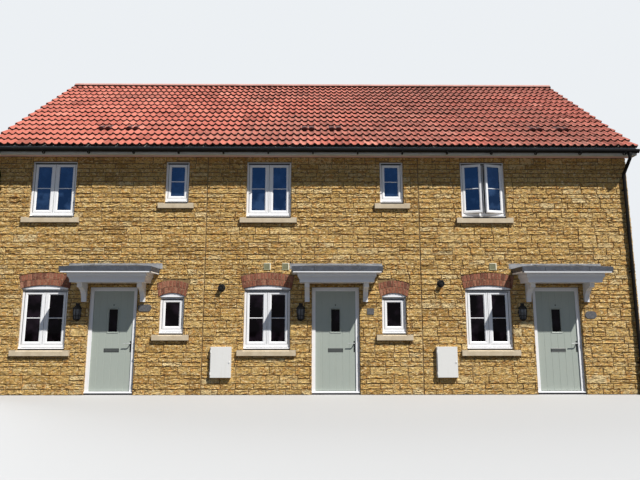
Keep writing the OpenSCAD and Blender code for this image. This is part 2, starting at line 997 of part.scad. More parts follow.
// Open shell with the two lugs that its door's hinge barrels turn in
module meter_shell() {
    face = -meter_d + meter_t + meter_gap;
    translate([-meter_w / 2, face, meter_z]) difference() {
        cube([meter_w, -face, meter_h]);
        translate([meter_t, -e, meter_t])
            cube([meter_w - 2 * meter_t, -face - meter_t + e, meter_h - 2 * meter_t]);
    }
    for (z = meter_barrel_zs)
        translate([-meter_w / 2, -meter_d - 5, z]) cube([2.5, meter_t + meter_gap + 5 + e, meter_barrel]);
}

module at_meter(i) {
    at_front() translate([bay(i) + meter_x, 0, 0]) children();
}

module meter_boxes() {
    color("white") for (i = [1, 2]) at_meter(i) meter_shell();
}

// Flat door of a meter box, with its two hinge barrels and its latch knob
module meter_door() {
    translate([-meter_w / 2 + 10, -meter_d, meter_z + 4]) cube([meter_w - 14, meter_t, meter_h - 8]);
    for (z = meter_barrel_zs)
        translate([-meter_w / 2 + 8, meter_axis_y, z]) cylinder(h = meter_barrel, r = 5);
    translate([meter_w / 2 - 30, -meter_d + e, meter_z + meter_h / 2]) rotate([90, 0, 0])
        cylinder(h = 13, r = 12);
}

module meter_door_2() {
    color("white") at_meter(1) meter_door();
}

module meter_door_3() {
    color("white") at_meter(2) meter_door();
}

front_wall_left();
front_wall_middle_left();
front_wall_middle_right();
front_wall_right();
front_wall_over_doors();
rear_wall();
gable_wall_left();
gable_wall_right();
party_walls();
ground_floors();
first_floors();
roof_front();
roof_rear();
ridge_tiles();
fascias();
soffits();
gutters();
downpipes();
movement_joints();
brick_arches();
window_sills();
upper_windows();
lower_windows();
open_casements();
rear_windows();
upper_glass();
lower_glass();
rear_glass();
door_frames();
door_1();
door_1_glass();
door_1_handles();
door_2();
door_2_glass();
door_2_handles();
door_3();
door_3_glass();
door_3_handles();
canopies();
canopy_roofs();
canopy_brackets();
wall_lanterns();
number_plaques();
wall_vents();
boiler_flues();
meter_boxes();
meter_door_2();
meter_door_3();
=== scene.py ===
import collections
import math

import bmesh
import bpy
import numpy as np
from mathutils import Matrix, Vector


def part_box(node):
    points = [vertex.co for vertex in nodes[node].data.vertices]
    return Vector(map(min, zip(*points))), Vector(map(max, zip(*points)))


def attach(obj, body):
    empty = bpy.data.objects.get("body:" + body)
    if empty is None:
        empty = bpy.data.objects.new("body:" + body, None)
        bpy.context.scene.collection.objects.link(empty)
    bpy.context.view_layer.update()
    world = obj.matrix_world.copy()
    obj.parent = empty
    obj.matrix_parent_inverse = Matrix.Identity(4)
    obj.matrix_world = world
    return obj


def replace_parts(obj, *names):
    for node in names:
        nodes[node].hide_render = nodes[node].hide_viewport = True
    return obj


# Terraced row of three houses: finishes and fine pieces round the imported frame, in metres.
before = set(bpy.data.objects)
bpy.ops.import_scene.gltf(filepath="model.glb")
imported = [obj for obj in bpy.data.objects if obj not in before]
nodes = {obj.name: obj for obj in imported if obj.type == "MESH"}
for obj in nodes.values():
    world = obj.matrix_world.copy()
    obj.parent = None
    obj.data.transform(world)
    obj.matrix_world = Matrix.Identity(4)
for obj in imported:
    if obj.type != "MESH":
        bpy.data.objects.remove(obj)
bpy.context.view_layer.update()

# Places taken from the frame
FRONT_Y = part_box("front_wall_left")[0].y
REAR_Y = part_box("rear_wall")[1].y
END_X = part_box("gable_wall_right")[1].x
VERGE_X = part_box("roof_front")[1].x
EAVE_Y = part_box("roof_front")[0].y
APEX_Y = (FRONT_Y + REAR_Y) / 2
APEX_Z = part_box("roof_front")[1].z
SOFFIT_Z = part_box("soffits")[0].z

# Sizes of the row that the finishes follow
BAY = 4.48
HOUSES = (-1, 0, 1)
PARTY = 2.2
PITCH = math.radians(35)
ROOF_T = 0.08
LARGE_X, LARGE_W = -0.92, 0.93
SMALL_X, SMALL_W = 1.645, 0.488
TWO_LIGHTS_W = 0.7
REVEAL, FRAME_D = 0.05, 0.07
FRAME_F, SASH_F, MULLION_F, CILL_H = 0.05, 0.052, 0.059, 0.06
SASH_STEP = 0.004
ARCH_RISE, ARCH_H, HEAD_FLAT, ARCH_LIFT = 0.06, 0.255, 0.025, 0.0005
DOOR_X, DOOR_W, DOOR_H = 0.461, 0.96, 2.1
SILL_H, SILL_EAR, SILL_OUT = 0.11, 0.12, 0.05
ARCH_FOOT, ARCH_SPREAD = 0.03, 0.08
CANOPY_X, CANOPY_W, CANOPY_OUT, CANOPY_Z, CANOPY_H = 0.476, 1.724, 0.615, 2.178, 0.209
LIP_H = 0.029
AJAR = math.radians(16)
FLASHING_HALF, FLASHING_Z = 0.947, (2.477, 2.585)
LANTERN_X, LANTERN_Z = -0.24, 1.43
LANTERN_BACK, LANTERN_HALF = (0.02, 0.35), 0.04
VENTS = ((-0.928, 2.523), (-0.551, 2.523), (4.48 - 0.796, 2.523))
FLUES = ((-1.845, 2.088), (4.48 - 1.877, 2.178))
PLAQUES = ((1.104 - 4.48, 1.688), (1.165, 1.617), (4.48 + 1.14, 1.55))

rng = np.random.default_rng(35)


# Windows by centre, sill height, width, frame height, arched head and glazing bar
Window = collections.namedtuple("Window", "x z w h arched barred")


def windows_of(large_z, large_h, small_z, small_h, arched):
    """The windows of one storey: a two-light one in each house and a one-light one in the first two."""
    large = [Window(h * BAY + LARGE_X, large_z, LARGE_W, large_h, arched, True) for h in HOUSES]
    small = [Window(h * BAY + SMALL_X, small_z, SMALL_W, small_h, arched, not arched) for h in HOUSES[:2]]
    return large + small


UPPER = windows_of(3.53, 1.19, 3.83, 0.89, False)
LOWER = windows_of(0.86, 1.195, 1.16, 0.74, True)
OPEN_WINDOW = UPPER[2]


# Surfaces
def grid_quads(rows, cols, wrap_rows=False, wrap_cols=False):
    """Quads between neighbouring points of a grid stored row by row; columns run right and rows run up."""
    r = np.arange(rows if wrap_rows else rows - 1)[:, None]
    c = np.arange(cols if wrap_cols else cols - 1)[None, :]
    r_next, c_next = (r + 1) % rows, (c + 1) % cols
    corners = [r * cols + c, r * cols + c_next, r_next * cols + c_next, r_next * cols + c]
    return np.stack(corners, -1).reshape(-1, 4)


SHADE_STRIP_T = 0.01
BOX_QUADS = [[0, 2, 3, 1], [4, 5, 7, 6], [0, 1, 5, 4], [2, 6, 7, 3], [0, 4, 6, 2], [1, 3, 7, 5]]


class Shape:
    """Points and faces gathered from several surfaces, to become one mesh."""

    def __init__(self):
        self.points, self.faces, self.tints, self.count = [], [], [], 0

    def add(self, points, faces, tint=0.5):
        """Adds points with the faces between them, and the shade that the finish reads."""
        points = np.asarray(points, float).reshape(-1, 3)
        self.points.append(points)
        self.tints.append(np.broadcast_to(np.asarray(tint, float), (len(points),)))
        self.faces.append(np.asarray(faces) + self.count)
        self.count += len(points)

    def close(self, rim, centre=None):
        """Closes a rim of points with triangles that meet in its centre."""
        count = len(rim)
        centre = np.mean(rim, 0) if centre is None else centre
        self.add(np.vstack([rim, centre]), [[i, (i + 1) % count, count] for i in range(count)])

    def add_patches(self, points, tint):
        """Many equal grids at once: points is patches x rows x cols x 3, and tint has one value a patch."""
        n, rows, cols, _ = points.shape
        quads = grid_quads(rows, cols)
        faces = quads[None] + (np.arange(n) * rows * cols)[:, None, None]
        self.add(points, faces.reshape(-1, 4), np.repeat(tint, rows * cols))


def piece(name, shape, finish, body="house", closed=True, smooth=False):
    """Makes one object from a shape, riding on a body. A closed shape gets its normals set outwards."""
    mesh = bpy.data.meshes.new(name)
    faces = [quad for block in shape.faces for quad in block.tolist()]
    mesh.from_pydata(np.concatenate(shape.points).tolist(), [], faces)
    tint = mesh.attributes.new("tint", "FLOAT", "POINT")
    tint.data.foreach_set("value", np.concatenate(shape.tints).astype(np.float32))
    if closed:
        work = bmesh.new()
        work.from_mesh(mesh)
        bmesh.ops.recalc_face_normals(work, faces=work.faces)
        work.to_mesh(mesh)
        work.free()
    mesh.polygons.foreach_set("use_smooth", [smooth] * len(mesh.polygons))
    mesh.materials.append(finish)
    mesh.validate()
    thing = bpy.data.objects.new(name, mesh)
    bpy.context.scene.collection.objects.link(thing)
    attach(thing, body)
    return thing


# Wall faces, each as its origin and the directions right along it and out of it
class Face:
    """A wall face: a point lies at origin + u right + w out + v up."""

    def __init__(self, origin, right, out):
        self.origin, self.right, self.out = (np.array(a, float) for a in (origin, right, out))

    def at(self, u, w, v):
        """The points at u along, w out of and v up the face."""
        u, w, v = np.broadcast_arrays(*(np.asarray(a, float) for a in (u, w, v)))
        flat = self.origin + u[..., None] * self.right + w[..., None] * self.out
        return flat + v[..., None] * np.array([0.0, 0.0, 1.0])


FRONT = Face((0, FRONT_Y, 0), (1, 0, 0), (0, -1, 0))
REAR = Face((0, REAR_Y, 0), (-1, 0, 0), (0, 1, 0))
LEFT = Face((-END_X, 0, 0), (0, -1, 0), (-1, 0, 0))
RIGHT = Face((END_X, 0, 0), (0, 1, 0), (1, 0, 0))


def loop_tube(face, section, u_of, v_of):
    """A closed band: section point k, as (inset, depth), goes round the four corners of a rectangle
    that is inset by its first value and lies its second value behind the wall face."""
    points = [face.at(u_of(inset), -depth, v_of(inset)) for inset, depth in section]
    return np.stack(points), grid_quads(len(section), 4, True, True)


def ring(shape, face, box, section):
    """Carries a section round the rectangle box = (u0, u1, v0, v1), mitred at the corners."""
    u0, u1, v0, v1 = box
    points, faces = loop_tube(
        face, section,
        lambda a: np.array([u0 + a, u1 - a, u1 - a, u0 + a]),
        lambda a: np.array([v0 + a, v0 + a, v1 - a, v1 - a]),
    )
    shape.add(points, faces)


def bar(shape, face, start, end, section, upright):
    """Carries a closed section of (across, depth) points along a straight bar and closes its ends."""
    across, depth = np.array(section).T
    ends = []
    for u, v in (start, end):
        ends.append(face.at(u + across, -depth, v) if upright else face.at(u, -depth, v + across))
    shape.add(np.stack(ends), grid_quads(2, len(section), False, True))
    for rim in ends:
        shape.close(rim)


def tube(shape, path, radius, sides, side=(1, 0, 0)):
    """Carries a circle along a path in the plane square to side; its radius may vary along the path."""
    path = np.asarray(path, float)
    radius = np.broadcast_to(np.asarray(radius, float), (len(path),))
    tangent = np.gradient(path, axis=0)
    tangent /= np.linalg.norm(tangent, axis=1)[:, None]
    side = np.asarray(side, float)
    normal = np.cross(tangent, side)
    turn = np.linspace(0, 2 * np.pi, sides, endpoint=False)
    rim = np.cos(turn)[None, :, None] * side + np.sin(turn)[None, :, None] * normal[:, None, :]
    points = path[:, None, :] + radius[:, None, None] * rim
    shape.add(points, grid_quads(len(path), sides, False, True))
    for k in (0, -1):
        shape.close(points[k], path[k])


def turned(shape, centre, axis, right, profile, sides=32, sweep=2 * np.pi, start=0.0):
    """Turns a profile of (radius, along) points about an axis; right is the direction of angle 0."""
    axis, right = np.asarray(axis, float), np.asarray(right, float)
    other = np.cross(axis, right)
    whole = abs(sweep - 2 * np.pi) < 1e-9
    turn = start + np.linspace(0, sweep, sides, endpoint=not whole)
    rim = np.cos(turn)[:, None] * right + np.sin(turn)[:, None] * other
    r, along = np.array(profile).T
    points = np.asarray(centre) + r[:, None, None] * rim[None] + along[:, None, None] * axis
    shape.add(points, grid_quads(len(profile), sides, False, whole))


def block(shape, low, high):
    """A box between two corners."""
    low, high = np.asarray(low, float), np.asarray(high, float)
    pick = np.array([[x, y, z] for z in (0, 1) for y in (0, 1) for x in (0, 1)])
    shape.add(low + pick * (high - low), BOX_QUADS)


def block_on(shape, face, low, high):
    """A box between two corners given as (u, w, v) on a wall face."""
    u, w, v = (np.array([low[k], high[k]]) for k in range(3))
    vv, ww, uu = np.meshgrid(v, w, u, indexing="ij")
    shape.add(face.at(uu.ravel(), ww.ravel(), vv.ravel()), BOX_QUADS)


def shade_strip(shape, face, u0, u1, v0, v1, depth):
    """A thin black band of painted shade in a gap between two frames, its front lying depth behind the wall
    face.
    """
    block_on(shape, face, (u0, -depth - SHADE_STRIP_T, v0), (u1, -depth, v1))


def smooth_arc(points, radius, steps=8):
    """A path of straight legs whose corners are rounded by arcs of one radius."""
    points = [np.asarray(p, float) for p in points]
    path = [points[0]]
    for before, corner, after in zip(points, points[1:], points[2:]):
        back, on = before - corner, after - corner
        back, on = back / np.linalg.norm(back), on / np.linalg.norm(on)
        angle = math.acos(np.clip(back @ on, -1, 1))
        cut = radius / math.tan(angle / 2)
        middle = back + on
        centre = corner + middle / np.linalg.norm(middle) * radius / math.sin(angle / 2)
        first, last = corner + back * cut - centre, corner + on * cut - centre
        turn = math.acos(np.clip(first @ last / radius ** 2, -1, 1))
        for t in np.linspace(0, 1, steps):
            spread = math.sin((1 - t) * turn) * first + math.sin(t * turn) * last
            path.append(centre + spread / math.sin(turn))
    path.append(points[-1])
    return np.array(path)


# Materials
class Finish:
    """A material under construction, with short calls for the nodes that the finishes share."""

    def __init__(self, name, roughness, metallic=0.0):
        self.material = bpy.data.materials.new(name)
        self.material.use_nodes = True
        self.tree = self.material.node_tree
        self.shader = self.tree.nodes["Principled BSDF"]
        self.shader.inputs["Roughness"].default_value = roughness
        self.shader.inputs["Metallic"].default_value = metallic
        self.coordinates = self.node("ShaderNodeTexCoord").outputs["Object"]

    def node(self, kind, **settings):
        """A new node with its settings."""
        made = self.tree.nodes.new(kind)
        for key, value in settings.items():
            setattr(made, key, value)
        return made

    def put(self, socket, value):
        """Links an output to an input, or sets the input's own value."""
        if isinstance(value, bpy.types.NodeSocket):
            self.tree.links.new(value, socket)
        elif isinstance(value, tuple) and len(value) == 3 and socket.type == "RGBA":
            socket.default_value = (*value, 1.0)
        else:
            socket.default_value = value

    def stretched(self, scale):
        """Object coordinates stretched by a scale."""
        made = self.node("ShaderNodeMapping")
        self.put(made.inputs["Vector"], self.coordinates)
        self.put(made.inputs["Scale"], scale)
        return made.outputs[0]

    def noise(self, scale, detail=3.0, rough=0.5, vector=None, distortion=0.0):
        """Noise in metres on the object's own coordinates, or on stretched ones."""
        made = self.node("ShaderNodeTexNoise")
        self.put(made.inputs["Vector"], vector or self.coordinates)
        settings = {"Scale": scale, "Detail": detail, "Roughness": rough, "Distortion": distortion}
        for key, value in settings.items():
            self.put(made.inputs[key], value)
        return made.outputs["Fac"]

    def ramp(self, value, *stops):
        """A colour from a value, by stops of (position, colour)."""
        made = self.node("ShaderNodeValToRGB")
        self.put(made.inputs["Fac"], value)
        band = made.color_ramp
        while len(band.elements) < len(stops):
            band.elements.new(0.5)
        for element, (position, colour) in zip(band.elements, stops):
            element.position = position
            element.color = (*colour, 1.0)
        return made.outputs["Color"]

    def mask(self, value, low, high):
        """0 below low, 1 above high, and a smooth rise between them."""
        made = self.node("ShaderNodeMapRange", interpolation_type="SMOOTHSTEP")
        self.put(made.inputs["Value"], value)
        self.put(made.inputs["From Min"], low)
        self.put(made.inputs["From Max"], high)
        return made.outputs["Result"]

    def mix(self, share, a, b):
        """Colour a, or b where share is 1."""
        made = self.node("ShaderNodeMix", data_type="RGBA")
        self.put(made.inputs[0], share)
        self.put(made.inputs[6], a)
        self.put(made.inputs[7], b)
        return made.outputs[2]

    def math(self, operation, a, b=0.0, c=0.0):
        made = self.node("ShaderNodeMath", operation=operation)
        for socket, value in zip(made.inputs, (a, b, c)):
            self.put(socket, value)
        return made.outputs[0]

    def split(self, axis):
        made = self.node("ShaderNodeSeparateXYZ")
        self.put(made.inputs[0], self.coordinates)
        return made.outputs[axis]

    def attribute(self, name):
        return self.node("ShaderNodeAttribute", attribute_name=name).outputs["Fac"]

    def bump(self, height, distance, normal=None):
        made = self.node("ShaderNodeBump")
        self.put(made.inputs["Distance"], distance)
        self.put(made.inputs["Height"], height)
        if normal:
            self.put(made.inputs["Normal"], normal)
        return made.outputs[0]

    def done(self, colour, roughness=None, normal=None):
        """Joins what was made to the shader and gives the finished material."""
        self.put(self.shader.inputs["Base Color"], colour)
        if roughness is not None:
            self.put(self.shader.inputs["Roughness"], roughness)
        if normal is not None:
            self.put(self.shader.inputs["Normal"], normal)
        return self.material


def coursed_stone():
    """Golden pitched stone: each block has its own tone, with rusty patches and a rough split face; its
    pale specks are painted highlights and its dark pits painted shade.
    """
    f = Finish("coursed_stone", 0.92)
    base = f.ramp(
        f.attribute("tint"),
        (0.0, (0.5, 0.29, 0.075)), (0.22, (0.66, 0.41, 0.12)), (0.5, (0.76, 0.49, 0.16)),
        (0.8, (0.82, 0.56, 0.205)), (1.0, (0.86, 0.66, 0.33)),
    )
    rust = f.mask(f.noise(9.0, 5.0, 0.65), 0.48, 0.66)
    colour = f.mix(rust, base, (0.66, 0.33, 0.08))
    long_grain = f.stretched((1.0, 1.0, 1.9))
    # Painted highlights: pale specks where the rough face catches the light.
    pale = f.mask(f.noise(15.0, 5.0, 0.7, long_grain), 0.51, 0.64)
    colour = f.mix(pale, colour, (1.0, 0.78, 0.42))
    # Painted shade: dark specks in the hollows of the rough face.
    painted_pit_shade = f.mask(f.noise(26.0, 4.0, 0.7, long_grain), 0.47, 0.37)
    colour = f.mix(painted_pit_shade, colour, (0.2, 0.09, 0.02))
    rough = f.bump(f.noise(10.0, 6.0, 0.7, long_grain), 0.085)
    grit = f.bump(f.noise(60.0, 4.0, 0.7), 0.014, rough)
    return f.done(colour, normal=grit)


def grained(name, roughness, noise, stops, grain, depth, gloss=0.5):
    """A finish in two shades, which noise of (scale, detail, roughness) chooses between, with a fine
    grain of its own scale, detail and depth."""
    f = Finish(name, roughness)
    f.shader.inputs["Specular IOR Level"].default_value = gloss
    return f.done(f.ramp(f.noise(*noise), *stops), normal=f.bump(f.noise(*grain), depth))


def red_brick():
    """Dark red brick with fire marks and a sanded face."""
    f = Finish("red_brick", 0.88)
    base = f.ramp(
        f.attribute("tint"),
        (0.0, (0.13, 0.042, 0.024)), (0.4, (0.24, 0.078, 0.042)), (0.75, (0.31, 0.11, 0.06)),
        (1.0, (0.38, 0.18, 0.11)),
    )
    colour = f.mix(f.mask(f.noise(22.0, 5.0, 0.6), 0.5, 0.72), base, (0.4, 0.2, 0.12))
    dark = f.mask(f.noise(48.0, 4.0), 0.54, 0.7)
    colour = f.mix(dark, colour, (0.1, 0.04, 0.025))
    return f.done(colour, normal=f.bump(f.noise(180.0, 3.0, 0.7), 0.006))


def clay_tile():
    """Salmon clay: each tile has its own shade, and brown weathering grows towards the right of the front.
    The noses, which carry a tint below zero, are painted near black: painted shade in the gap under each
    course."""
    f = Finish("clay_tile", 0.8)
    base = f.ramp(
        f.attribute("tint"),
        (0.0, (0.29, 0.07, 0.045)), (0.3, (0.43, 0.11, 0.074)), (0.7, (0.5, 0.148, 0.102)),
        (1.0, (0.59, 0.21, 0.15)),
    )
    stretch = f.stretched((0.55, 1.0, 1.0))
    patches = f.noise(0.75, 3.0, 0.6, stretch)
    along = f.mask(f.split("X"), -3.4, 2.2)
    amount = f.math("MULTIPLY_ADD", along, 0.13, patches)
    weathered = f.mask(amount, 0.5, 0.74)
    speckle = f.mask(f.noise(7.0, 5.0, 0.7), 0.36, 0.62)
    share = f.math("MULTIPLY", weathered, f.math("MULTIPLY_ADD", speckle, 0.4, 0.13))
    colour = f.mix(share, base, (0.115, 0.075, 0.055))
    streak = f.noise(16.0, 3.0, 0.6, f.stretched((6.0, 0.7, 0.7)))
    colour = f.mix(f.math("MULTIPLY", f.mask(streak, 0.5, 0.75), 0.25), colour, (0.62, 0.33, 0.25))
    # Painted shade: the noses go near black for the shaded gap under each course.
    colour = f.mix(f.mask(f.attribute("tint"), -0.4, -0.6), colour, (0.014, 0.004, 0.003))
    grain = f.bump(f.noise(70.0, 4.0, 0.7), 0.003)
    return f.done(colour, normal=grain)


def ridge_clay():
    """The ridge tiles' clay, a little paler than the pantiles."""
    f = Finish("ridge_clay", 0.8)
    base = f.ramp(f.noise(1.3, 3.0), (0.35, (0.42, 0.185, 0.145)), (0.65, (0.56, 0.29, 0.24)))
    colour = f.mix(f.mask(f.noise(9.0, 5.0, 0.7), 0.56, 0.75), base, (0.3, 0.17, 0.13))
    return f.done(colour, normal=f.bump(f.noise(80.0, 4.0, 0.7), 0.003))


def plastic(name, colour, roughness, soil, soil_colour, waviness=0.0004, gloss=0.5):
    """Moulded plastic with faint streaks of dirt that run down it."""
    f = Finish(name, roughness)
    f.shader.inputs["Specular IOR Level"].default_value = gloss
    streak = f.noise(9.0, 4.0, 0.6, f.stretched((3.0, 3.0, 0.35)))
    share = f.math("MULTIPLY", f.mask(streak, 0.48, 0.8), soil)
    tone = f.mix(share, colour, soil_colour)
    rough = f.mask(f.noise(30.0, 2.0), -1.6, 2.2)
    worn = f.math("MULTIPLY_ADD", rough, 0.2, roughness - 0.1)
    return f.done(tone, worn, f.bump(f.noise(24.0, 2.0), waviness))


def soffit_board():
    """Eaves board: rosy beside the wall, as painted light, and greyer under the gutter, as painted shade.
    """
    f = Finish("soffit_board", 0.6)
    away = f.math("ABSOLUTE", f.math("SUBTRACT", f.split("Y"), APEX_Y))
    painted_gutter_shade = f.mask(away, (REAR_Y - FRONT_Y) / 2 + 0.1, (REAR_Y - FRONT_Y) / 2 + 0.2)
    tone = f.mix(painted_gutter_shade, (0.9, 0.6, 0.53), (0.52, 0.62, 0.6))
    dust = f.math("MULTIPLY", f.mask(f.noise(14.0, 4.0), 0.5, 0.8), 0.25)
    return f.done(f.mix(dust, tone, (0.42, 0.36, 0.3)), normal=f.bump(f.noise(40.0, 2.0), 0.0006))


def cast_stone():
    """Buff cast stone with fine sand in its face and a little staining."""
    f = Finish("cast_stone", 0.85)
    base = f.ramp(f.noise(6.0, 4.0, 0.6), (0.3, (0.5, 0.405, 0.27)), (0.7, (0.63, 0.53, 0.385)))
    stain = f.math("MULTIPLY", f.mask(f.noise(55.0, 4.0, 0.7), 0.55, 0.75), 0.5)
    colour = f.mix(stain, base, (0.38, 0.28, 0.17))
    return f.done(colour, normal=f.bump(f.noise(210.0, 3.0, 0.6), 0.002))


def lead_sheet(name, deep, pale):
    """Grey lead with a pale patina in patches, dressed by hand."""
    f = Finish(name, 0.55, 0.1)
    base = f.ramp(f.noise(5.0, 5.0, 0.65), (0.3, deep), (0.7, pale))
    colour = f.mix(f.mask(f.noise(20.0, 4.0, 0.6), 0.58, 0.8), base, tuple(c * 1.5 for c in pale))
    return f.done(colour, f.mask(f.noise(11.0, 3.0), -0.6, 1.5), f.bump(f.noise(13.0, 3.0, 0.5), 0.006))


def window_glass(name, dark, gloss, sky):
    """Sealed glass: its colour is painted shade, near black for the unlit rooms behind it, with paler
    patches of painted reflection; its mirror reflection takes the tint sky, a painted sky colour."""
    f = Finish(name, 0.03)
    f.shader.inputs["Specular IOR Level"].default_value = gloss
    f.shader.inputs["Specular Tint"].default_value = (*sky, 1.0)
    # Painted shade of the rooms, with paler patches of painted reflection.
    depth = f.ramp(f.noise(3.4, 4.0), (0.45, dark), (0.62, tuple(14 * c for c in dark)))
    return f.done(depth, normal=f.bump(f.noise(1.3, 1.0), 0.003))


def painted_door():
    """Sage-green door skin with a fine moulded wood grain."""
    f = Finish("painted_door", 0.42)
    grain = f.noise(12.0, 5.0, 0.6, f.stretched((14.0, 14.0, 0.9)), 0.4)
    share = f.math("MULTIPLY", f.mask(grain, 0.4, 0.7), 0.3)
    colour = f.mix(share, (0.375, 0.415, 0.37), (0.31, 0.35, 0.31))
    dust = f.mask(f.noise(3.0, 3.0), 0.45, 0.8)
    colour = f.mix(f.math("MULTIPLY", dust, 0.18), colour, (0.43, 0.45, 0.4))
    return f.done(colour, normal=f.bump(grain, 0.0012))


def soft_black(name, colour, roughness):
    """Gaskets, seals, and dark bands of painted shade in gaps."""
    f = Finish(name, roughness)
    tone = f.mix(f.noise(30.0, 3.0), colour, tuple(c * 2.2 for c in colour))
    return f.done(tone, normal=f.bump(f.noise(120.0, 2.0), 0.0008))


def floor_board():
    """Boards of the upper floor, 0.14 m wide."""
    f = Finish("floor_board", 0.7)
    grain = f.noise(5.0, 5.0, 0.6, f.stretched((1.0, 14.0, 14.0)), 0.5)
    colour = f.ramp(grain, (0.3, (0.3, 0.19, 0.1)), (0.7, (0.46, 0.32, 0.19)))
    return f.done(colour, normal=f.bump(grain, 0.002))


STONE = coursed_stone()
# Mortar darkened below its sandy tone: partly its own colour, partly painted shade in the recessed joints
# between the stones.
SHADED_JOINT_MORTAR = grained("mortar_bed_painted_shade", 0.95, (60.0, 4.0, 0.7),
                 ((0.3, (0.16, 0.1, 0.04)), (0.7, (0.3, 0.2, 0.09))), (240.0, 3.0), 0.003)
BRICK = red_brick()
BRICK_MORTAR = grained("brick_mortar", 0.95, (90.0, 4.0, 0.7),
                       ((0.3, (0.26, 0.17, 0.1)), (0.7, (0.4, 0.28, 0.17))), (260.0, 3.0), 0.002)
TILE = clay_tile()
RIDGE = ridge_clay()
BEDDING = grained("bedding_mortar", 0.95, (40.0, 4.0, 0.7),
                  ((0.3, (0.34, 0.28, 0.23)), (0.7, (0.5, 0.42, 0.35))), (150.0, 3.0), 0.003)
RIDGE_FOOT_SHADE = soft_black("ridge_foot_painted_shade", (0.03, 0.012, 0.009), 0.9)
WHITE = plastic("white_frame", (0.86, 0.865, 0.88), 0.35, 0.1, (0.6, 0.58, 0.52))
CREAM = plastic("eaves_board", (0.6, 0.6, 0.56), 0.45, 0.35, (0.4, 0.34, 0.28))
SOFFIT = soffit_board()
METER = plastic("meter_shell", (0.76, 0.755, 0.73), 0.5, 0.14, (0.52, 0.48, 0.4), 0.0008)
GUTTER = plastic("rain_black", (0.0045, 0.004, 0.0042), 0.45, 0.35, (0.03, 0.022, 0.018), gloss=0.16)
TAN = plastic("vent_tan", (0.36, 0.35, 0.21), 0.6, 0.25, (0.22, 0.2, 0.12))
# Painted highlight for the vents' edges that face the key lamp.
VENT_HIGHLIGHT = plastic("vent_painted_highlight", (0.88, 0.82, 0.62), 0.55, 0.15, (0.55, 0.46, 0.3))
CAST = cast_stone()
LEAD = lead_sheet("lead_sheet", (0.036, 0.04, 0.05), (0.068, 0.078, 0.1))
FLASHING = lead_sheet("lead_flashing", (0.24, 0.245, 0.255), (0.36, 0.36, 0.365))
UPPER_GLASS = window_glass("upper_window_glass", (0.0015, 0.003, 0.006), 1.0, (0.1, 0.31, 0.88))
GLASS = window_glass("lower_window_glass", (0.0008, 0.0005, 0.0008), 0.06, (1.0, 0.9, 1.0))
DOOR = painted_door()
IRON = grained("black_iron", 0.6, (35.0, 3.0),
               ((0.35, (0.004, 0.004, 0.0045)), (0.7, (0.013, 0.013, 0.014))), (160.0, 2.0), 0.0012, 0.25)
PANE = grained("frosted_pane", 0.35, (12.0, 2.0),
               ((0.3, (0.02, 0.022, 0.028)), (0.7, (0.14, 0.15, 0.17))), (90.0, 2.0), 0.002)
# Black for the gaskets, and for the bands of painted shade in the windows' gaps and under the door sills.
SEAL_AND_SHADE_BLACK = soft_black("gasket_and_painted_shade", (0.008, 0.008, 0.009), 0.6)
SEALANT = soft_black("joint_sealant", (0.17, 0.115, 0.05), 0.7)
VENT_TILE = soft_black("vent_tile", (0.05, 0.02, 0.018), 0.95)
SLATE = grained("slate_plate", 0.6, (28.0, 4.0, 0.6),
                ((0.3, (0.055, 0.056, 0.062)), (0.7, (0.13, 0.128, 0.132))), (40.0, 4.0), 0.003)
LETTER_GREY = plastic("letter_plate", (0.055, 0.06, 0.058), 0.35, 0.2, (0.12, 0.12, 0.11))
SATIN = plastic("satin_metal", (0.42, 0.44, 0.43), 0.3, 0.2, (0.2, 0.2, 0.2), gloss=0.8)
CONCRETE = grained("grey_concrete", 0.9, (9.0, 5.0, 0.6),
                   ((0.3, (0.3, 0.29, 0.27)), (0.7, (0.42, 0.41, 0.38))), (80.0, 3.0), 0.003)
BOARDS = floor_board()

NODE_FINISHES = {
    SHADED_JOINT_MORTAR: ["front_wall_left", "front_wall_middle_left", "front_wall_middle_right", "front_wall_right",
             "front_wall_over_doors", "rear_wall", "gable_wall_left", "gable_wall_right"],
    CONCRETE: ["party_walls", "ground_floors"],
    BOARDS: ["first_floors"],
    RIDGE: ["ridge_tiles"],
    CREAM: ["fascias"],
    SOFFIT: ["soffits"],
    GUTTER: ["gutters"],
    SEALANT: ["movement_joints"],
    CAST: ["window_sills"],
    UPPER_GLASS: ["upper_glass"],
    GLASS: ["lower_glass", "rear_glass", "door_1_glass", "door_2_glass", "door_3_glass"],
    WHITE: ["door_frames", "canopies", "canopy_brackets"],
    DOOR: ["door_1", "door_2", "door_3"],
    LEAD: ["canopy_roofs"],
    SLATE: ["number_plaques"],
    TAN: ["wall_vents"],
    IRON: ["boiler_flues"],
    METER: ["meter_boxes", "meter_door_2", "meter_door_3"],
}
for finish, names in NODE_FINISHES.items():
    for name in names:
        nodes[name].data.materials.clear()
        nodes[name].data.materials.append(finish)


# Masonry
COURSES = (0.084, 0.105, 0.115, 0.145, 0.165)
COURSE_SHARES = (0.2, 0.28, 0.28, 0.13, 0.11)
JOINT = 0.012
END_JOINT = 0.008
PROUD = 0.018
FITTING_GAP = 0.0035


def arch_radius(width):
    """Radius of the circle through an opening's corners that rises by the arch's rise."""
    return (width * width / 4 + ARCH_RISE ** 2) / (2 * ARCH_RISE)


def arch_centre(win):
    """Height of the centre of a window's arch curves."""
    return win.z + win.h + HEAD_FLAT + ARCH_LIFT + ARCH_RISE - arch_radius(win.w)


def arch_top(u, win):
    """Height of the outside of a brick arch over u."""
    reach = arch_radius(win.w) + ARCH_H
    return arch_centre(win) + np.sqrt(np.maximum(reach ** 2 - (u - win.x) ** 2, 0))


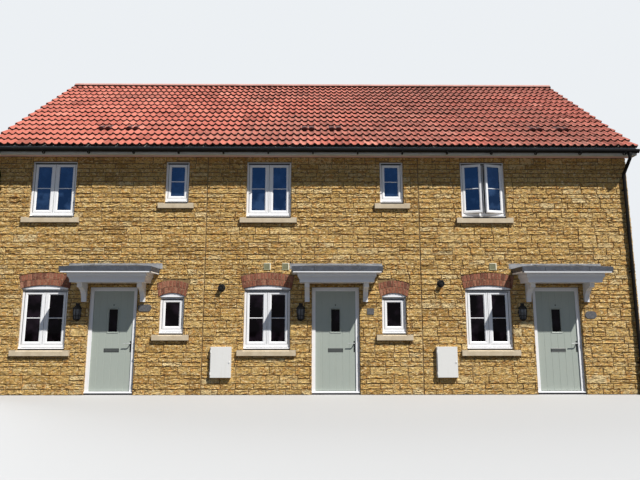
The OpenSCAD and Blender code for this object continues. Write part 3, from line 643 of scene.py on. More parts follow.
def bed_joints(top):
    """Heights of the bed joints, course by course, until the wall is full."""
    beds = [0.0]
    while beds[-1] < top - 0.04:
        beds.append(beds[-1] + rng.choice(COURSES, p=COURSE_SHARES))
    beds[-1] = top
    return beds


def lay_row(u0, u1, v0, v1):
    """One course of stones from u0 to u1; now and then two thin stones lie in a tall course."""
    stones, u = [], u0
    while u < u1 - 1e-6:
        length = rng.uniform(0.2, 0.3) + rng.uniform(0.0, 1.7) * (v1 - v0)
        if u1 - u - length < 0.13:
            length = u1 - u
            if length > 0.55:
                length /= 2
        if v1 - v0 > 0.14 and rng.random() < 0.3:
            middle = v0 + (v1 - v0) * rng.uniform(0.4, 0.6)
            stones += [(u, u + length, v0, middle), (u, u + length, middle, v1)]
        else:
            stones.append((u, u + length, v0, v1))
        u += length
    return stones


def lay_wall(u0, u1, beds):
    """Courses between the bed joints, from u0 to u1."""
    return [stone for v0, v1 in zip(beds, beds[1:]) for stone in lay_row(u0, u1, v0, v1)]


def cut_out(stones, blocks):
    """Takes rectangles out of the stones; what is left of a stone is kept where it is big enough to lay."""
    for b0, b1, c0, c1 in blocks:
        left = []
        for u0, u1, v0, v1 in stones:
            if u1 <= b0 or u0 >= b1 or v1 <= c0 or v0 >= c1:
                left.append((u0, u1, v0, v1))
                continue
            left += [(u0, b0, v0, v1), (b1, u1, v0, v1)]
            inner0, inner1 = max(u0, b0), min(u1, b1)
            left += [(inner0, inner1, v0, c0), (inner0, inner1, c1, v1)]
        stones = [s for s in left if s[1] - s[0] > 0.03 and s[3] - s[2] > 0.024]
    return stones


# Grids of a stone's face as shares of its length and of its height
FINE = (
    np.array([0.0, 0.0, 0.16, 0.33, 0.5, 0.67, 0.84, 1.0, 1.0]),
    np.array([0.0, 0.0, 0.25, 0.5, 0.75, 1.0, 1.0]),
)
PLAIN = (np.array([0.0, 0.0, 0.28, 0.52, 0.76, 1.0, 1.0]), np.array([0.0, 0.0, 0.34, 0.68, 1.0, 1.0]))
STONE_BEVEL = 0.007
EDGE_WAVE = 0.0035


def rim_of(shares):
    """1 at the second line of a grid, -1 at the last but one, and 0 elsewhere."""
    rim = np.zeros(len(shares))
    rim[1], rim[-2] = 1, -1
    return rim


def pitched_faces(shape, face, stones, grid=PLAIN, limits=None, lean=None, flats=(), proud=PROUD, wave=0.0):
    """Rough faces on the stones: a stone is a grid over (s, t) in 0..1; it stands out of the wall by
    its own height plus smoothed random steps inside, and falls back to the mortar along its rim.
    lean moves points along the wall, limits gives the lowest and highest v allowed over u, flats are
    rectangles in which the faces stay low behind a fitting, and wave makes the bed joints uneven."""
    cols, rows = grid
    stones = np.array(stones)
    gap, end_gap = JOINT / 2, END_JOINT / 2
    u0, u1 = (stones[:, 0] + end_gap)[:, None, None], (stones[:, 1] - end_gap)[:, None, None]
    v0, v1 = (stones[:, 2] + gap)[:, None, None], (stones[:, 3] - gap)[:, None, None]
    bevel = STONE_BEVEL * rng.uniform(0.7, 1.5, (len(stones), 1, 1))
    rim_u, rim_v = bevel * rim_of(cols), bevel * rim_of(rows)[:, None]
    u = u0 + cols * (u1 - u0) + rim_u
    raw = v0 + rows[:, None] * (v1 - v0)
    u, raw = (a.copy() for a in np.broadcast_arrays(u, raw))
    low, high = np.broadcast_to(v0, u.shape), np.broadcast_to(v1, u.shape)
    if lean is not None:
        u = lean(u, raw)
    if limits is not None:
        floor, roof = limits(u, (u0 + u1) / 2)
        low, high = np.maximum(low, floor), np.minimum(high, roof)
    keep = (high - low).min((1, 2)) > 0.02
    u, low, high, rim_v = u[keep], low[keep], high[keep], rim_v[keep]
    n = len(u)
    v = low + rows[:, None] * (high - low) + rim_v * 0.8
    rise = rng.uniform(0.5, 1.0, (n, 1, 1)) * proud
    slant = rng.normal(0, 0.16, (n, 1, 1)) * (cols - 0.5)
    slant = slant + rng.normal(0, 0.2, (n, 1, 1)) * (rows[:, None] - 0.5)
    rough = (rng.normal(0, 0.3, v.shape) + slant) * proud
    w = np.clip(rise + rough, 0.12 * proud, 1.3 * proud)
    v[:, 2:-2, 1:-1] += rng.normal(0, 0.003, v.shape)[:, 2:-2, 1:-1]
    if wave:
        v[:, :2] += rng.normal(0, wave, (n, 1, len(cols)))
        v[:, -2:] += rng.normal(0, wave, (n, 1, len(cols)))
        v = np.maximum(v, 0.002)
    u[:, 1:-1, 2:-2] += rng.normal(0, 0.006, v.shape)[:, 1:-1, 2:-2]
    for a, b, c, d in flats:
        inside = (u > a - 0.03) & (u < b + 0.03) & (v > c - 0.03) & (v < d + 0.03)
        w = np.where(inside, np.minimum(w, FITTING_GAP), w)
    for edge in (np.s_[:, 0, :], np.s_[:, -1, :], np.s_[:, :, 0], np.s_[:, :, -1]):
        w[edge] = -0.003
    tint = np.clip(rng.normal(0.5, 0.26, n), 0, 1)
    shape.add_patches(face.at(u, w, v), tint)


def arch_shift(v, win):
    """How far an arch's leaning end stands out past its foot at a height v."""
    spring = win.z + win.h + HEAD_FLAT
    rise = np.clip((v - spring) / ARCH_H, 0, 1) * np.clip((spring + ARCH_H + 0.3 - v) / 0.2, 0, 1)
    return (ARCH_SPREAD - ARCH_FOOT) * rise


def lean_by_arches(windows, mirror):
    """Moves stone edges along the wall so that they follow the arches' leaning ends: by the whole shift at
    an end, fading to nothing over 0.3 m beside it and towards the arch's middle."""
    def lean(u, v):
        for win in windows:
            if win.arched:
                half = win.w / 2 + ARCH_FOOT
                away = u - win.x * mirror
                share = np.clip(np.minimum(np.abs(away) / half, 1 - (np.abs(away) - half) / 0.3), 0, 1)
                u = u + np.sign(away) * arch_shift(v, win) * share
        return u
    return lean


def over_arches(windows, mirror):
    """Stones laid over an arch start at its outer curve; the others keep their own heights."""
    def limits(u, middle):
        low = np.full(u.shape, -1.0)
        for win in windows:
            if win.arched:
                place = win._replace(x=win.x * mirror)
                over = np.abs(middle - place.x) < place.w / 2 + ARCH_FOOT
                low = np.where(over, arch_top(u, place) + 0.004, low)
        return low, np.full(u.shape, 99.0)
    return limits


def blocks_for(windows, doors, mirror=1):
    """Rectangles that the stones leave free: windows with their sills, arches and doors."""
    blocks = []
    for x, z, w, h, arched, _ in windows:
        x *= mirror
        blocks.append((x - w / 2, x + w / 2, z, z + h + (HEAD_FLAT if arched else 0)))
        blocks.append((x - w / 2 - SILL_EAR, x + w / 2 + SILL_EAR, z - SILL_H, z))
        if arched:
            half, spring = w / 2 + ARCH_FOOT, z + h + HEAD_FLAT
            blocks.append((x - half, x + half, spring, spring + ARCH_H - 0.035))
    for x in doors:
        blocks.append((x - DOOR_W / 2, x + DOOR_W / 2, 0, DOOR_H))
    return blocks


def is_over(stone, windows, mirror):
    """Whether a stone reaches over an arch."""
    return any(
        win.arched and win.z + win.h < stone[2] < win.z + win.h + 0.6
        and stone[0] < win.x * mirror + win.w / 2 + ARCH_FOOT
        and stone[1] > win.x * mirror - win.w / 2 - ARCH_FOOT
        for win in windows
    )


def split_at_ends(stones, windows, mirror):
    """Stones over an arch are cut where the arch ends."""
    ends = [win.x * mirror + s * (win.w / 2 + ARCH_FOOT) for win in windows if win.arched for s in (-1, 1)]
    parts = []
    for u0, u1, v0, v1 in stones:
        cuts = [u0, *sorted(c for c in ends if u0 < c < u1), u1]
        parts += [(a, b, v0, v1) for a, b in zip(cuts, cuts[1:]) if b - a > 0.03]
    return parts


def stones_over(face, windows, doors, mirror, shape, grid, flats):
    """Lays one long wall between its ends and its movement joints."""
    edges = [-END_X - PROUD * 0.6, -PARTY, PARTY, END_X + PROUD * 0.6]
    free, beds, stones = 0.004, bed_joints(SOFFIT_Z), []
    for k in range(3):
        start = edges[k] + (free if k else 0)
        end = edges[k + 1] - (free if k < 2 else 0)
        stones += lay_wall(start, end, beds)
    stones = cut_out(stones, blocks_for(windows, doors, mirror))
    near = [s for s in stones if is_over(s, windows, mirror)]
    far = [s for s in stones if not is_over(s, windows, mirror)]
    lean = lean_by_arches(windows, mirror)
    pitched_faces(shape, face, far, grid, lean=lean, flats=flats, wave=EDGE_WAVE)
    near = split_at_ends(near, windows, mirror)
    pitched_faces(shape, face, near, grid, over_arches(windows, mirror), lean, flats)


def reveal_faces(shape, windows, doors, wall_face, mirror):
    """Stones turned into the sides of the openings, down to the frames."""
    for x, z, w, h, *_ in [*windows, *[(d, 0.0, DOOR_W, DOOR_H, False, False) for d in doors]]:
        beds = z + np.array(bed_joints(h))
        for s in (-1, 1):
            edge = wall_face.at(x * mirror + s * w / 2, 0, 0)
            side = Face(edge, s * wall_face.out, -s * wall_face.right)
            span = (0.0, REVEAL) if s < 0 else (-REVEAL, 0.0)
            pitched_faces(shape, side, [(*span, a, b) for a, b in zip(beds, beds[1:])], proud=0.004)


def fittings_on_front():
    """Rectangles in which the stones stay low behind vents, plates, boxes, flashings and lanterns."""
    places = [(x, z, 0.07, 0.07) for x, z in VENTS]
    places += [(x, z, 0.043, 0.043) for x, z in FLUES]
    places += [(x, z, 0.134, 0.075) for x, z in PLAQUES]
    lantern_low, lantern_high = LANTERN_BACK
    for h in HOUSES:
        middle = LANTERN_Z + (lantern_low + lantern_high) / 2
        places.append((h * BAY + LANTERN_X, middle, LANTERN_HALF, (lantern_high - lantern_low) / 2))
        flashing_half_h = (FLASHING_Z[1] - FLASHING_Z[0]) / 2
        places.append((h * BAY + CANOPY_X, sum(FLASHING_Z) / 2, FLASHING_HALF, flashing_half_h))
    low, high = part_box("meter_boxes")
    half_w, half_h, clear = (high.x - low.x - BAY) / 2, (high.z - low.z) / 2, 0.02
    for shift in (0, BAY):
        places.append((low.x + shift + half_w, low.z + half_h, half_w + clear, half_h + clear))
    return [(x - a, x + a, z - b, z + b) for x, z, a, b in places]


def long_wall(name, face, windows, doors, mirror, grid=PLAIN, flats=()):
    """The stones of a long wall and of the sides of its openings."""
    shape = Shape()
    stones_over(face, windows, doors, mirror, shape, grid, flats)
    reveal_faces(shape, windows, doors, face, mirror)
    piece(name, shape, STONE, closed=False)


def gable(name, face, mirror):
    """Stones of a gable wall under the slopes of the roof."""
    depth = REAR_Y - FRONT_Y
    middle = APEX_Y * mirror
    top = APEX_Z - ROOF_T / math.cos(PITCH)

    def under_roof(u, middle_of_stone):
        return np.full(u.shape, -1.0), top - np.abs(u - middle) * math.tan(PITCH) - 0.004

    shape = Shape()
    stones = lay_wall(middle - depth / 2, middle + depth / 2, bed_joints(top))
    pitched_faces(shape, face, stones, limits=under_roof, wave=EDGE_WAVE)
    piece(name, shape, STONE, closed=False)


door_xs = [h * BAY + DOOR_X for h in HOUSES]
long_wall("front_stones", FRONT, UPPER + LOWER, door_xs, 1, FINE, fittings_on_front())
long_wall("rear_stones", REAR, UPPER + LOWER, [], -1)
gable("left_gable_stones", LEFT, -1)
gable("right_gable_stones", RIGHT, 1)


def arch_bricks():
    """Two rings of bricks on edge over each lower window, with mortar behind. A point lies at (t, q):
    t runs between the leaning ends, q from the inner curve to the outer one. A brick is a grid over
    both, and its face stands out a little from the wall."""
    bricks, mortar = Shape(), Shape()
    joint, arris = 0.008, 0.0035
    for face, mirror in ((FRONT, 1), (REAR, -1)):
        for win in LOWER:
            x, r, centre = win.x * mirror, arch_radius(win.w), arch_centre(win)
            foot, head = win.w / 2 + ARCH_FOOT, win.w / 2 + ARCH_SPREAD

            def at(t, q, w):
                inner, outer = (2 * t - 1) * foot, (2 * t - 1) * head
                z0 = centre + np.sqrt(r ** 2 - inner ** 2)
                z1 = centre + np.sqrt((r + ARCH_H) ** 2 - outer ** 2)
                return face.at(x + inner + q * (outer - inner), w, z0 + q * (z1 - z0))

            for k, (q0, q1) in enumerate(((0.01, 0.47), (0.505, 0.985))):
                count = round(2 * foot / 0.064)
                starts = (np.arange(count + k) - 0.5 * k) / count
                for start in starts:
                    t0 = max(start, 0) + joint / 4 / foot
                    t1 = min(start + 1 / count, 1) - joint / 4 / foot
                    dt, dq = arris / 2 / foot, arris / ARCH_H
                    t = np.array([t0, t0 + dt, t1 - dt, t1])
                    q = np.array([q0, q0 + dq, q1 - dq, q1])[:, None]
                    w = np.full((4, 4), 0.012 + rng.uniform(-0.0025, 0.0025))
                    w[0, :] = w[-1, :] = w[:, 0] = w[:, -1] = 0.008
                    tint = rng.uniform(0, 1)
                    bricks.add(at(t, q, w), grid_quads(4, 4), tint)
                    rim_t, rim_q = np.array([t0, t1, t1, t0]), np.array([q0, q0, q1, q1])
                    rim = np.stack([at(rim_t, rim_q, np.full(4, out)) for out in (-0.097, 0.008)])
                    bricks.add(rim, grid_quads(2, 4, False, True), tint)
            t = np.linspace(0.003, 0.997, 25)
            section = [(0.012, 0.004), (0.99, 0.004), (0.99, -0.097), (0.012, -0.097)]
            mortar.add(np.stack([at(t, q, out) for q, out in section]), grid_quads(4, 25, True, False))
    made = piece("arch_bricks", bricks, BRICK, closed=False)
    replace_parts(made, "brick_arches")
    piece("arch_mortar", mortar, BRICK_MORTAR, closed=False)


arch_bricks()


# Roof
ROLL = 0.1495
RIDGE_R = 0.1
slope_axis = np.array([0.0, math.cos(PITCH), math.sin(PITCH)])
slope_up = np.array([0.0, -math.sin(PITCH), math.cos(PITCH)])


def on_slope(x, s, h, rear=False):
    """A point x along the row, s up the slope from the eave and h above the roof plane."""
    eave = np.array([0.0, EAVE_Y, APEX_Z - (APEX_Y - EAVE_Y) * math.tan(PITCH)])
    x, s, h = np.broadcast_arrays(*(np.asarray(a, float) for a in (x, s, h)))
    points = eave + s[..., None] * slope_axis + h[..., None] * slope_up
    points = points + x[..., None] * np.array([1.0, 0, 0])
    if rear:
        points = points * np.array([-1.0, -1.0, 1.0]) + np.array([0, 2 * APEX_Y, 0])
    return points


def pantile_height(q):
    """Height of the tile face over q rolls: a round roll, steeper on its left, beside a shallow pan."""
    t = (q + 0.1) % 1.0
    roll = np.cos(np.clip((t - 0.3) / np.where(t < 0.3, 0.26, 0.36), -1, 1) * np.pi / 2) ** 1.4
    pan = 0.1 * np.cos((t - 0.3) * 2 * np.pi)
    return 0.033 * (roll + pan) - 0.036


SLOPE = (APEX_Y - EAVE_Y) / math.cos(PITCH)
COURSE_COUNT = 15
TILE_T = 0.04
TILE_TILT = 0.051
DECK_TOP = -0.052
VERGE_W = 0.04


def pantiles(name, rear, node):
    """Double-roll clay tiles, one grid each: columns run over two rolls, rows run from the thick lower
    edge to the head, which tucks under the next course. Each tile lies a little off true."""
    tiles_across = round(2 * VERGE_X / (2 * ROLL))
    width = 2 * VERGE_X / tiles_across
    gauge = (SLOPE - 0.03) / COURSE_COUNT
    across = np.linspace(0, 1, 19)
    along = np.array([0.0, 0.02, 0.5, 1.12])
    lift = np.array([-0.005, 0.0, 0.0, 0.0])
    k, j = (a.ravel() for a in np.meshgrid(np.arange(tiles_across), np.arange(COURSE_COUNT)))
    n = len(k)
    slip = rng.normal(0, 0.004, (n, 1, 1)) + rng.normal(0, 0.003, COURSE_COUNT)[j][:, None, None]
    shift = rng.normal(0, 0.0016, (n, 1, 1))
    tilt = rng.normal(0, 0.002, (n, 1, 1))
    s_share = along[None, :, None]
    x = -VERGE_X + (k[:, None, None] + across) * width + shift
    x = np.clip(x, -VERGE_X, VERGE_X)
    s = np.maximum((j[:, None, None] + s_share) * gauge + slip, 0.0)
    top = np.where(j == COURSE_COUNT - 1, SLOPE - 0.01, 99.0)[:, None, None]
    s = np.minimum(s, top)
    h = pantile_height(across * 2) + lift[None, :, None] + TILE_TILT * (1 - s_share / 1.12)
    h = h + tilt * (across - 0.5) * 2 + rng.normal(0, 0.0018, (n, 1, 1))
    x, s, h = np.broadcast_arrays(x, s, h)
    shape = Shape()
    shape.add_patches(on_slope(x, s, h, rear), np.clip(rng.normal(0.45, 0.2, n), 0, 1))
    ends = [0, 0]
    drop = np.array([[-TILE_T], [0.0]])
    nose = on_slope(x[:, ends], s[:, ends] + 0.006 * (drop < 0), h[:, ends] + drop, rear)
    # Tint -1 makes the finish paint the noses near black, as painted shade under each course.
    shape.add_patches(nose, np.full(n, -1.0))
    made = piece(name, shape, TILE, closed=False, smooth=True)
    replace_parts(made, node)


def slab(shape, x0, x1, s0, s1, h0, h1, rear):
    """A flat board on the slope, as the eight corners of a sheared box."""
    corners = [(x, s, h) for h in (h0, h1) for s in (s0, s1) for x in (x0, x1)]
    shape.add(np.array([on_slope(*c, rear) for c in corners]), BOX_QUADS)


for rear in (False, True):
    word = "rear" if rear else "front"
    pantiles(f"roof_tiles_{word}", rear, f"roof_{word}")
    deck, verge = Shape(), Shape()
    slab(deck, -VERGE_X + 0.02, VERGE_X - 0.02, 0.02, SLOPE - 0.035, -ROOF_T, DECK_TOP, rear)
    piece(f"roof_deck_{word}", deck, CREAM)
    for x0 in (-VERGE_X + 0.004, VERGE_X - 0.004 - VERGE_W):
        slab(verge, x0, x0 + VERGE_W, 0.012, SLOPE - 0.03, DECK_TOP + 0.002, -0.026, rear)
    piece(f"verge_mortar_{word}", verge, BEDDING)


def ridge_bedding():
    """Mortar under the ridge tiles: a half round carried along the ridge, which shows in the tiles' joints,
    and a dark line of shade along both its feet."""
    shape = Shape()
    low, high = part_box("ridge_tiles")
    r = (high.y - low.y) / 2 - 0.004
    turn = np.linspace(0.0, np.pi, 13)
    y = APEX_Y + r * np.cos(turn)
    z = high.z - RIDGE_R + (RIDGE_R - 0.006) * np.sin(turn)
    z = np.maximum(z, low.z - 0.02)
    foot = low.z - 0.05
    y = np.concatenate([y, [APEX_Y - r, APEX_Y, APEX_Y + r]])
    z = np.concatenate([z, [foot, APEX_Z - 0.09, foot]])
    ends = [np.stack([np.full(len(y), x), y, z], -1) for x in (low.x + 0.004, high.x - 0.004)]
    shape.add(np.stack(ends), grid_quads(2, len(y), False, True))
    for rim in ends:
        shape.close(rim)
    piece("ridge_bedding", shape, BEDDING)
    # Black slabs along both feet of the ridge: painted shade.
    joint = Shape()
    foot = SLOPE - RIDGE_R / math.cos(PITCH)
    for rear in (False, True):
        slab(joint, -VERGE_X + 0.01, VERGE_X - 0.01, foot - 0.035, foot - 0.005, -0.03, 0.046, rear)
    piece("ridge_foot_painted_shade", joint, RIDGE_FOOT_SHADE)


ridge_bedding()

ROOF_VENT_X = (-4.591, -3.976, -0.111, 0.489, 4.939, 5.525)
ROOF_VENT_W, ROOF_VENT_L, ROOF_VENT_S = 0.31, 0.26, 1.02


def roof_vents():
    """Dark in-line vent tiles: two hoods over the rolls that swell towards an open lower edge."""
    shape = Shape()
    q = np.linspace(0, 1, 17)
    t = np.array([0.0, 0.0, 0.12, 0.45, 0.8, 1.0])
    swell = np.array([0.0, 1.0, 1.0, 0.72, 0.3, 0.0])
    hood = np.abs(np.sin(2 * np.pi * q)) ** 0.6
    for x0 in ROOF_VENT_X:
        x = x0 + ROOF_VENT_W * (q - 0.5)
        s = ROOF_VENT_S + ROOF_VENT_L * t
        h = 0.014 + 0.052 * swell[:, None] * hood[None, :]
        xx, ss = np.meshgrid(x, s)
        shape.add(on_slope(xx, ss, h), grid_quads(len(t), len(q)))
    piece("roof_vent_tiles", shape, VENT_TILE, closed=False)


roof_vents()


# Windows
def light_width(win):
    """Width of one light; a wide window has two."""
    return (win.w - 2 * FRAME_F - MULLION_F) / 2 if win.w > TWO_LIGHTS_W else win.w - 2 * FRAME_F


def light_centres(win):
    """Centres of the lights from the window's middle."""
    gap = (light_width(win) + MULLION_F) / 2
    return (-gap, gap) if win.w > TWO_LIGHTS_W else (0.0,)


FRAME_SECTION = [
    (0.0, REVEAL + 0.002), (0.002, REVEAL), (FRAME_F - 0.002, REVEAL), (FRAME_F, REVEAL + 0.002),
    (FRAME_F, REVEAL + FRAME_D - 0.002), (FRAME_F - 0.002, REVEAL + FRAME_D), (0.002, REVEAL + FRAME_D),
    (0.0, REVEAL + FRAME_D - 0.002),
]


def sash_section(face_d):
    """Sash outline: a rounded outer arris, a flat face, and an ogee bead down to the glass."""
    back = face_d + 0.056
    return [
        (0.0, face_d + 0.003), (0.003, face_d), (SASH_F - 0.016, face_d), (SASH_F - 0.012, face_d + 0.003),
        (SASH_F - 0.008, face_d + 0.008), (SASH_F - 0.001, face_d + 0.012), (SASH_F, face_d + 0.016),
        (SASH_F, back - 0.003), (SASH_F - 0.003, back), (0.003, back), (0.0, back - 0.003),
    ]


def gasket_section(inset, depth):
    """A thin seal between a sash and its glass."""
    wide, back = inset + 0.004, depth + 0.006
    return [(inset, depth), (wide, depth + 0.002), (wide, back), (inset, back)]


def glazing_bar(shape, face, u0, u1, v, front):
    """Horizontal bar on both faces of the glass, with bevelled edges."""
    for depth, out in ((front, -1), (front + 0.024, 1)):
        section = [
            (-0.009, depth), (-0.005, depth + out * 0.009), (0.005, depth + out * 0.009), (0.009, depth),
        ]
        bar(shape, face, (u0, v), (u1, v), section, upright=False)


# Gap under a frame's cill, and height of the band of painted shade over its lights
UPSTAIRS_GAPS, DOWNSTAIRS_GAPS = (0.034, 0.028), (0.026, 0.017)
UPSTAIRS_Z = 2.0


def window(parts, face, win, mirror, open_lights=False):
    """Adds one window's frame, mullion, cill, sashes, bars, seals and black bands of painted shade to the
    shapes in parts.
    """
    x, z, w, h, arched, barred = win
    x *= mirror
    white, seals = parts["white"], parts["seal"]
    ring(white, face, (x - w / 2, x + w / 2, z + 0.036, z + h), FRAME_SECTION)
    nose = REVEAL - 0.025
    gap, drip = UPSTAIRS_GAPS if z > UPSTAIRS_Z else DOWNSTAIRS_GAPS
    foot = [
        (gap, REVEAL + FRAME_D), (gap, nose), (gap + 0.004, nose - 0.002), (0.042, nose + 0.002),
        (0.048, REVEAL + 0.002), (CILL_H + 0.002, REVEAL + 0.002), (CILL_H + 0.002, REVEAL + FRAME_D),
    ]
    bar(white, face, (x - w / 2, z), (x + w / 2, z), foot, upright=False)
    # Black bands of painted shade: under the cill's nose, over the cill, over the lights, beside them, in
    # the mullion's groove and under an arched head.
    shade_strip(seals, face, x - w / 2 + 0.001, x + w / 2 - 0.001, z + 0.0005, z + gap + 0.001, nose + 0.002)
    lw, lh = light_width(win), h - CILL_H - 2 * FRAME_F
    v0 = z + CILL_H + FRAME_F
    front, back, rail = REVEAL + 0.001, REVEAL + FRAME_D, FRAME_F - 0.001
    bar(white, face, (x - w / 2 + 0.02, z + CILL_H), (x + w / 2 - 0.02, z + CILL_H),
        [(0.0, front), (rail, front), (rail, back), (0.0, back)], upright=False)
    shade_strip(seals, face, x - w / 2 + FRAME_F, x + w / 2 - FRAME_F, z + 0.047, z + 0.055, REVEAL - 0.0015)
    # drip is the height of the band of painted shade over the lights.
    shade_strip(seals, face, x - w / 2 + 0.03, x + w / 2 - 0.03, v0 + lh - 0.002, v0 + lh + drip, REVEAL - 0.003)
    for s in (-1, 1):
        edge = x + s * (w / 2 - FRAME_F)
        shade_strip(seals, face, edge - 0.0035, edge + 0.0035, v0, v0 + lh - 0.002, REVEAL - 0.001)
    if w > TWO_LIGHTS_W:
        half, groove = MULLION_F / 2, 0.004
        for a, b in ((-half, -groove), (groove, half)):
            section = [
                (a, REVEAL + 0.004), (a + 0.002, REVEAL + 0.002), (b - 0.002, REVEAL + 0.002),
                (b, REVEAL + 0.004), (b, back), (a, back),
            ]
            bar(white, face, (x, v0 - 0.001), (x, v0 + lh - 0.001), section, upright=True)
        shade_strip(seals, face, x - groove, x + groove, v0, v0 + lh - 0.002, REVEAL + 0.008)
    for c in light_centres(win):
        box = (x + c - lw / 2, x + c + lw / 2, v0, v0 + lh)
        ring(seals, face, box, [(0.0, 0.112), (0.006, 0.112), (0.006, 0.15), (0.0, 0.15)])
        if open_lights:
            continue
        sash = tuple(b + d for b, d in zip(box, (0.003, -0.003, 0.003, -0.003)))
        ring(white, face, sash, sash_section(REVEAL + SASH_STEP))
        pane = REVEAL + 0.024
        ring(seals, face, sash, gasket_section(SASH_F - 0.004, pane - 0.006))
        if barred:
            mid = z + CILL_H + FRAME_F + lh / 2
            glazing_bar(white, face, box[0] + SASH_F, box[1] - SASH_F, mid, pane)
    if arched:
        arched_head(white, face, win, x)
        top = z + h + 0.001
        shade_strip(seals, face, x - w / 2 + 0.001, x + w / 2 - 0.001, top - 0.02, top, REVEAL - 0.004)


def arched_head(shape, face, win, x):
    """White infill between the flat frame head and the arch: its top follows the arch curve."""
    u = np.linspace(-win.w / 2 + 0.0005, win.w / 2 - 0.0005, 25)
    r = arch_radius(win.w)
    top = arch_centre(win) + np.sqrt(r * r - u * u) - 0.001
    low = np.full(u.shape, win.z + win.h + 0.0005)
    front, back = REVEAL - 0.038, REVEAL + FRAME_D
    edge = 0.004
    lines = [
        (low, front + edge), (low + edge, front), (top - edge, front), (top, front + edge),
        (top, back), (low, back),
    ]
    points = np.stack([face.at(x + u, -d, v) for v, d in lines])
    shape.add(points, grid_quads(len(lines), len(u), True, False))
    for k in (0, -1):
        shape.close(points[:, k])


class TurnedFace(Face):
    """A wall face whose points are then turned about an upright hinge line, for an open casement."""

    def __init__(self, base, hinge, angle):
        super().__init__(base.origin, base.right, base.out)
        self.hinge, self.angle = np.array(hinge, float), angle

    def at(self, u, w, v):
        points = super().at(u, w, v)
        c, s = math.cos(self.angle), math.sin(self.angle)
        x, y = np.moveaxis(points[..., :2] - self.hinge, -1, 0)
        swung = np.stack([c * x - s * y, s * x + c * y], -1)
        return np.concatenate([swung + self.hinge, points[..., 2:]], -1)


def open_casement(parts, side):
    """One casement of the open window, turned outwards about its outer edge."""
    x, z, w, h, _, _ = OPEN_WINDOW
    lw, lh = light_width(OPEN_WINDOW) - 0.004, h - CILL_H - 2 * FRAME_F - 0.004
    hinge_x = x + side * (w / 2 - FRAME_F - 0.0004)
    face = TurnedFace(FRONT, (hinge_x, FRONT_Y + REVEAL), side * AJAR)
    edges = sorted((hinge_x, hinge_x - side * lw))
    v0 = z + CILL_H + FRAME_F + 0.002
    box = (*edges, v0, v0 + lh)
    ring(parts["white"], face, box, sash_section(REVEAL - 0.006))
    ring(parts["seal"], face, box, gasket_section(SASH_F - 0.004, REVEAL + 0.012))
    glazing_bar(parts["white"], face, box[0] + SASH_F, box[1] - SASH_F, v0 + lh / 2, REVEAL + 0.018)


def make_windows(name, face, wins, mirror, node):
    """The frames, and the seals with the black bands of painted shade, of all windows that stand for one
    node.
    """
    parts = {"white": Shape(), "seal": Shape()}
    for win in wins:
        window(parts, face, win, mirror, open_lights=mirror == 1 and win == OPEN_WINDOW)
    made = piece(f"{name}_frames", parts["white"], WHITE)
    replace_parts(made, node)
    piece(f"{name}_seals", parts["seal"], SEAL_AND_SHADE_BLACK)


make_windows("upper_window", FRONT, UPPER, 1, "upper_windows")
make_windows("lower_window", FRONT, LOWER, 1, "lower_windows")
make_windows("rear_window", REAR, UPPER + LOWER, -1, "rear_windows")
casements = {"white": Shape(), "seal": Shape()}
for side in (-1, 1):
    open_casement(casements, side)
made = piece("ajar_casement_frames", casements["white"], WHITE)
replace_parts(made, "open_casements")
piece("ajar_casement_seals", casements["seal"], SEAL_AND_SHADE_BLACK)


def sill_noses():
    """Front edge of each stone sill: a rounded nose between its two ears, with a throat under it."""
    shape = Shape()
    for face, mirror in ((FRONT, 1), (REAR, -1)):
        for x, z, w, *_ in UPPER + LOWER:
            x *= mirror
            nose = [(-SILL_H, -SILL_OUT), (-SILL_H, -SILL_OUT - 0.018), (-SILL_H + 0.004, -SILL_OUT - 0.02),
                    (-0.022, -SILL_OUT - 0.02), (-0.017, -SILL_OUT - 0.017), (-0.0145, -SILL_OUT)]
            bar(shape, face, (x - w / 2 - SILL_EAR, z), (x + w / 2 + SILL_EAR, z), nose, upright=False)
            for u0, u1 in ((x - w / 2 - SILL_EAR, x - w / 2), (x + w / 2, x + w / 2 + SILL_EAR)):
                block_on(shape, face, (u0, SILL_OUT, z - 0.02), (u1, SILL_OUT + 0.019, z))
    piece("sill_noses", shape, CAST)


sill_noses()


# Doors
LEAF_Y0 = REVEAL + FRAME_D - 0.044
LEAF_Y1 = REVEAL + FRAME_D
LEAF_HALF = 0.411
LEAF_LOW, LEAF_TOP = 0.068, 2.031
VISION_HALF, VISION_Z, VISION_H = 0.087, 1.217, 0.445
LETTER_Z, LETTER_HALF = 0.855, 0.1525
HANDLE_X, HANDLE_Z = LEAF_HALF - 0.036, 0.99
HINGE_ZS = (0.22, 1.0, 1.78)


def on_leaf(outer, *points):
    """Section points of (across, height above the face) on the outer or the inner face of a leaf."""
    base, out = (LEAF_Y0, -1) if outer else (LEAF_Y1, 1)
    return [(across, base + out * height) for across, height in points]


def door_boards(shape, face, x, outer):
    """Six upright boards on one face of a leaf, each with bevelled sides, cut round the vision panel."""
    count, step, bevel, edge, clear = 6, 0.0035, 0.005, 0.002, 0.02
    width = 2 * (LEAF_HALF - edge) / count
    low, top = LEAF_LOW + edge, LEAF_TOP - edge
    under, over = VISION_Z - clear, VISION_Z + VISION_H + clear
    for k in range(count):
        a = -LEAF_HALF + edge + k * width
        b = a + width
        beside = a >= VISION_HALF + clear or b <= -VISION_HALF - clear
        for v0, v1 in [(low, top)] if beside else [(low, under), (over, top)]:
            section = on_leaf(outer, (a, 0.0), (a + bevel, step), (b - bevel, step), (b, 0.0))
            bar(shape, face, (x, v0), (x, v1), section, upright=True)
    inner = LEAF_HALF - edge - 2 * width
    for a, b in ((-inner, -VISION_HALF - clear), (VISION_HALF + clear, inner)):
        section = on_leaf(outer, (a, 0.0), (a, step), (b, step), (b, 0.0))
        bar(shape, face, (x, under), (x, over), section, upright=True)


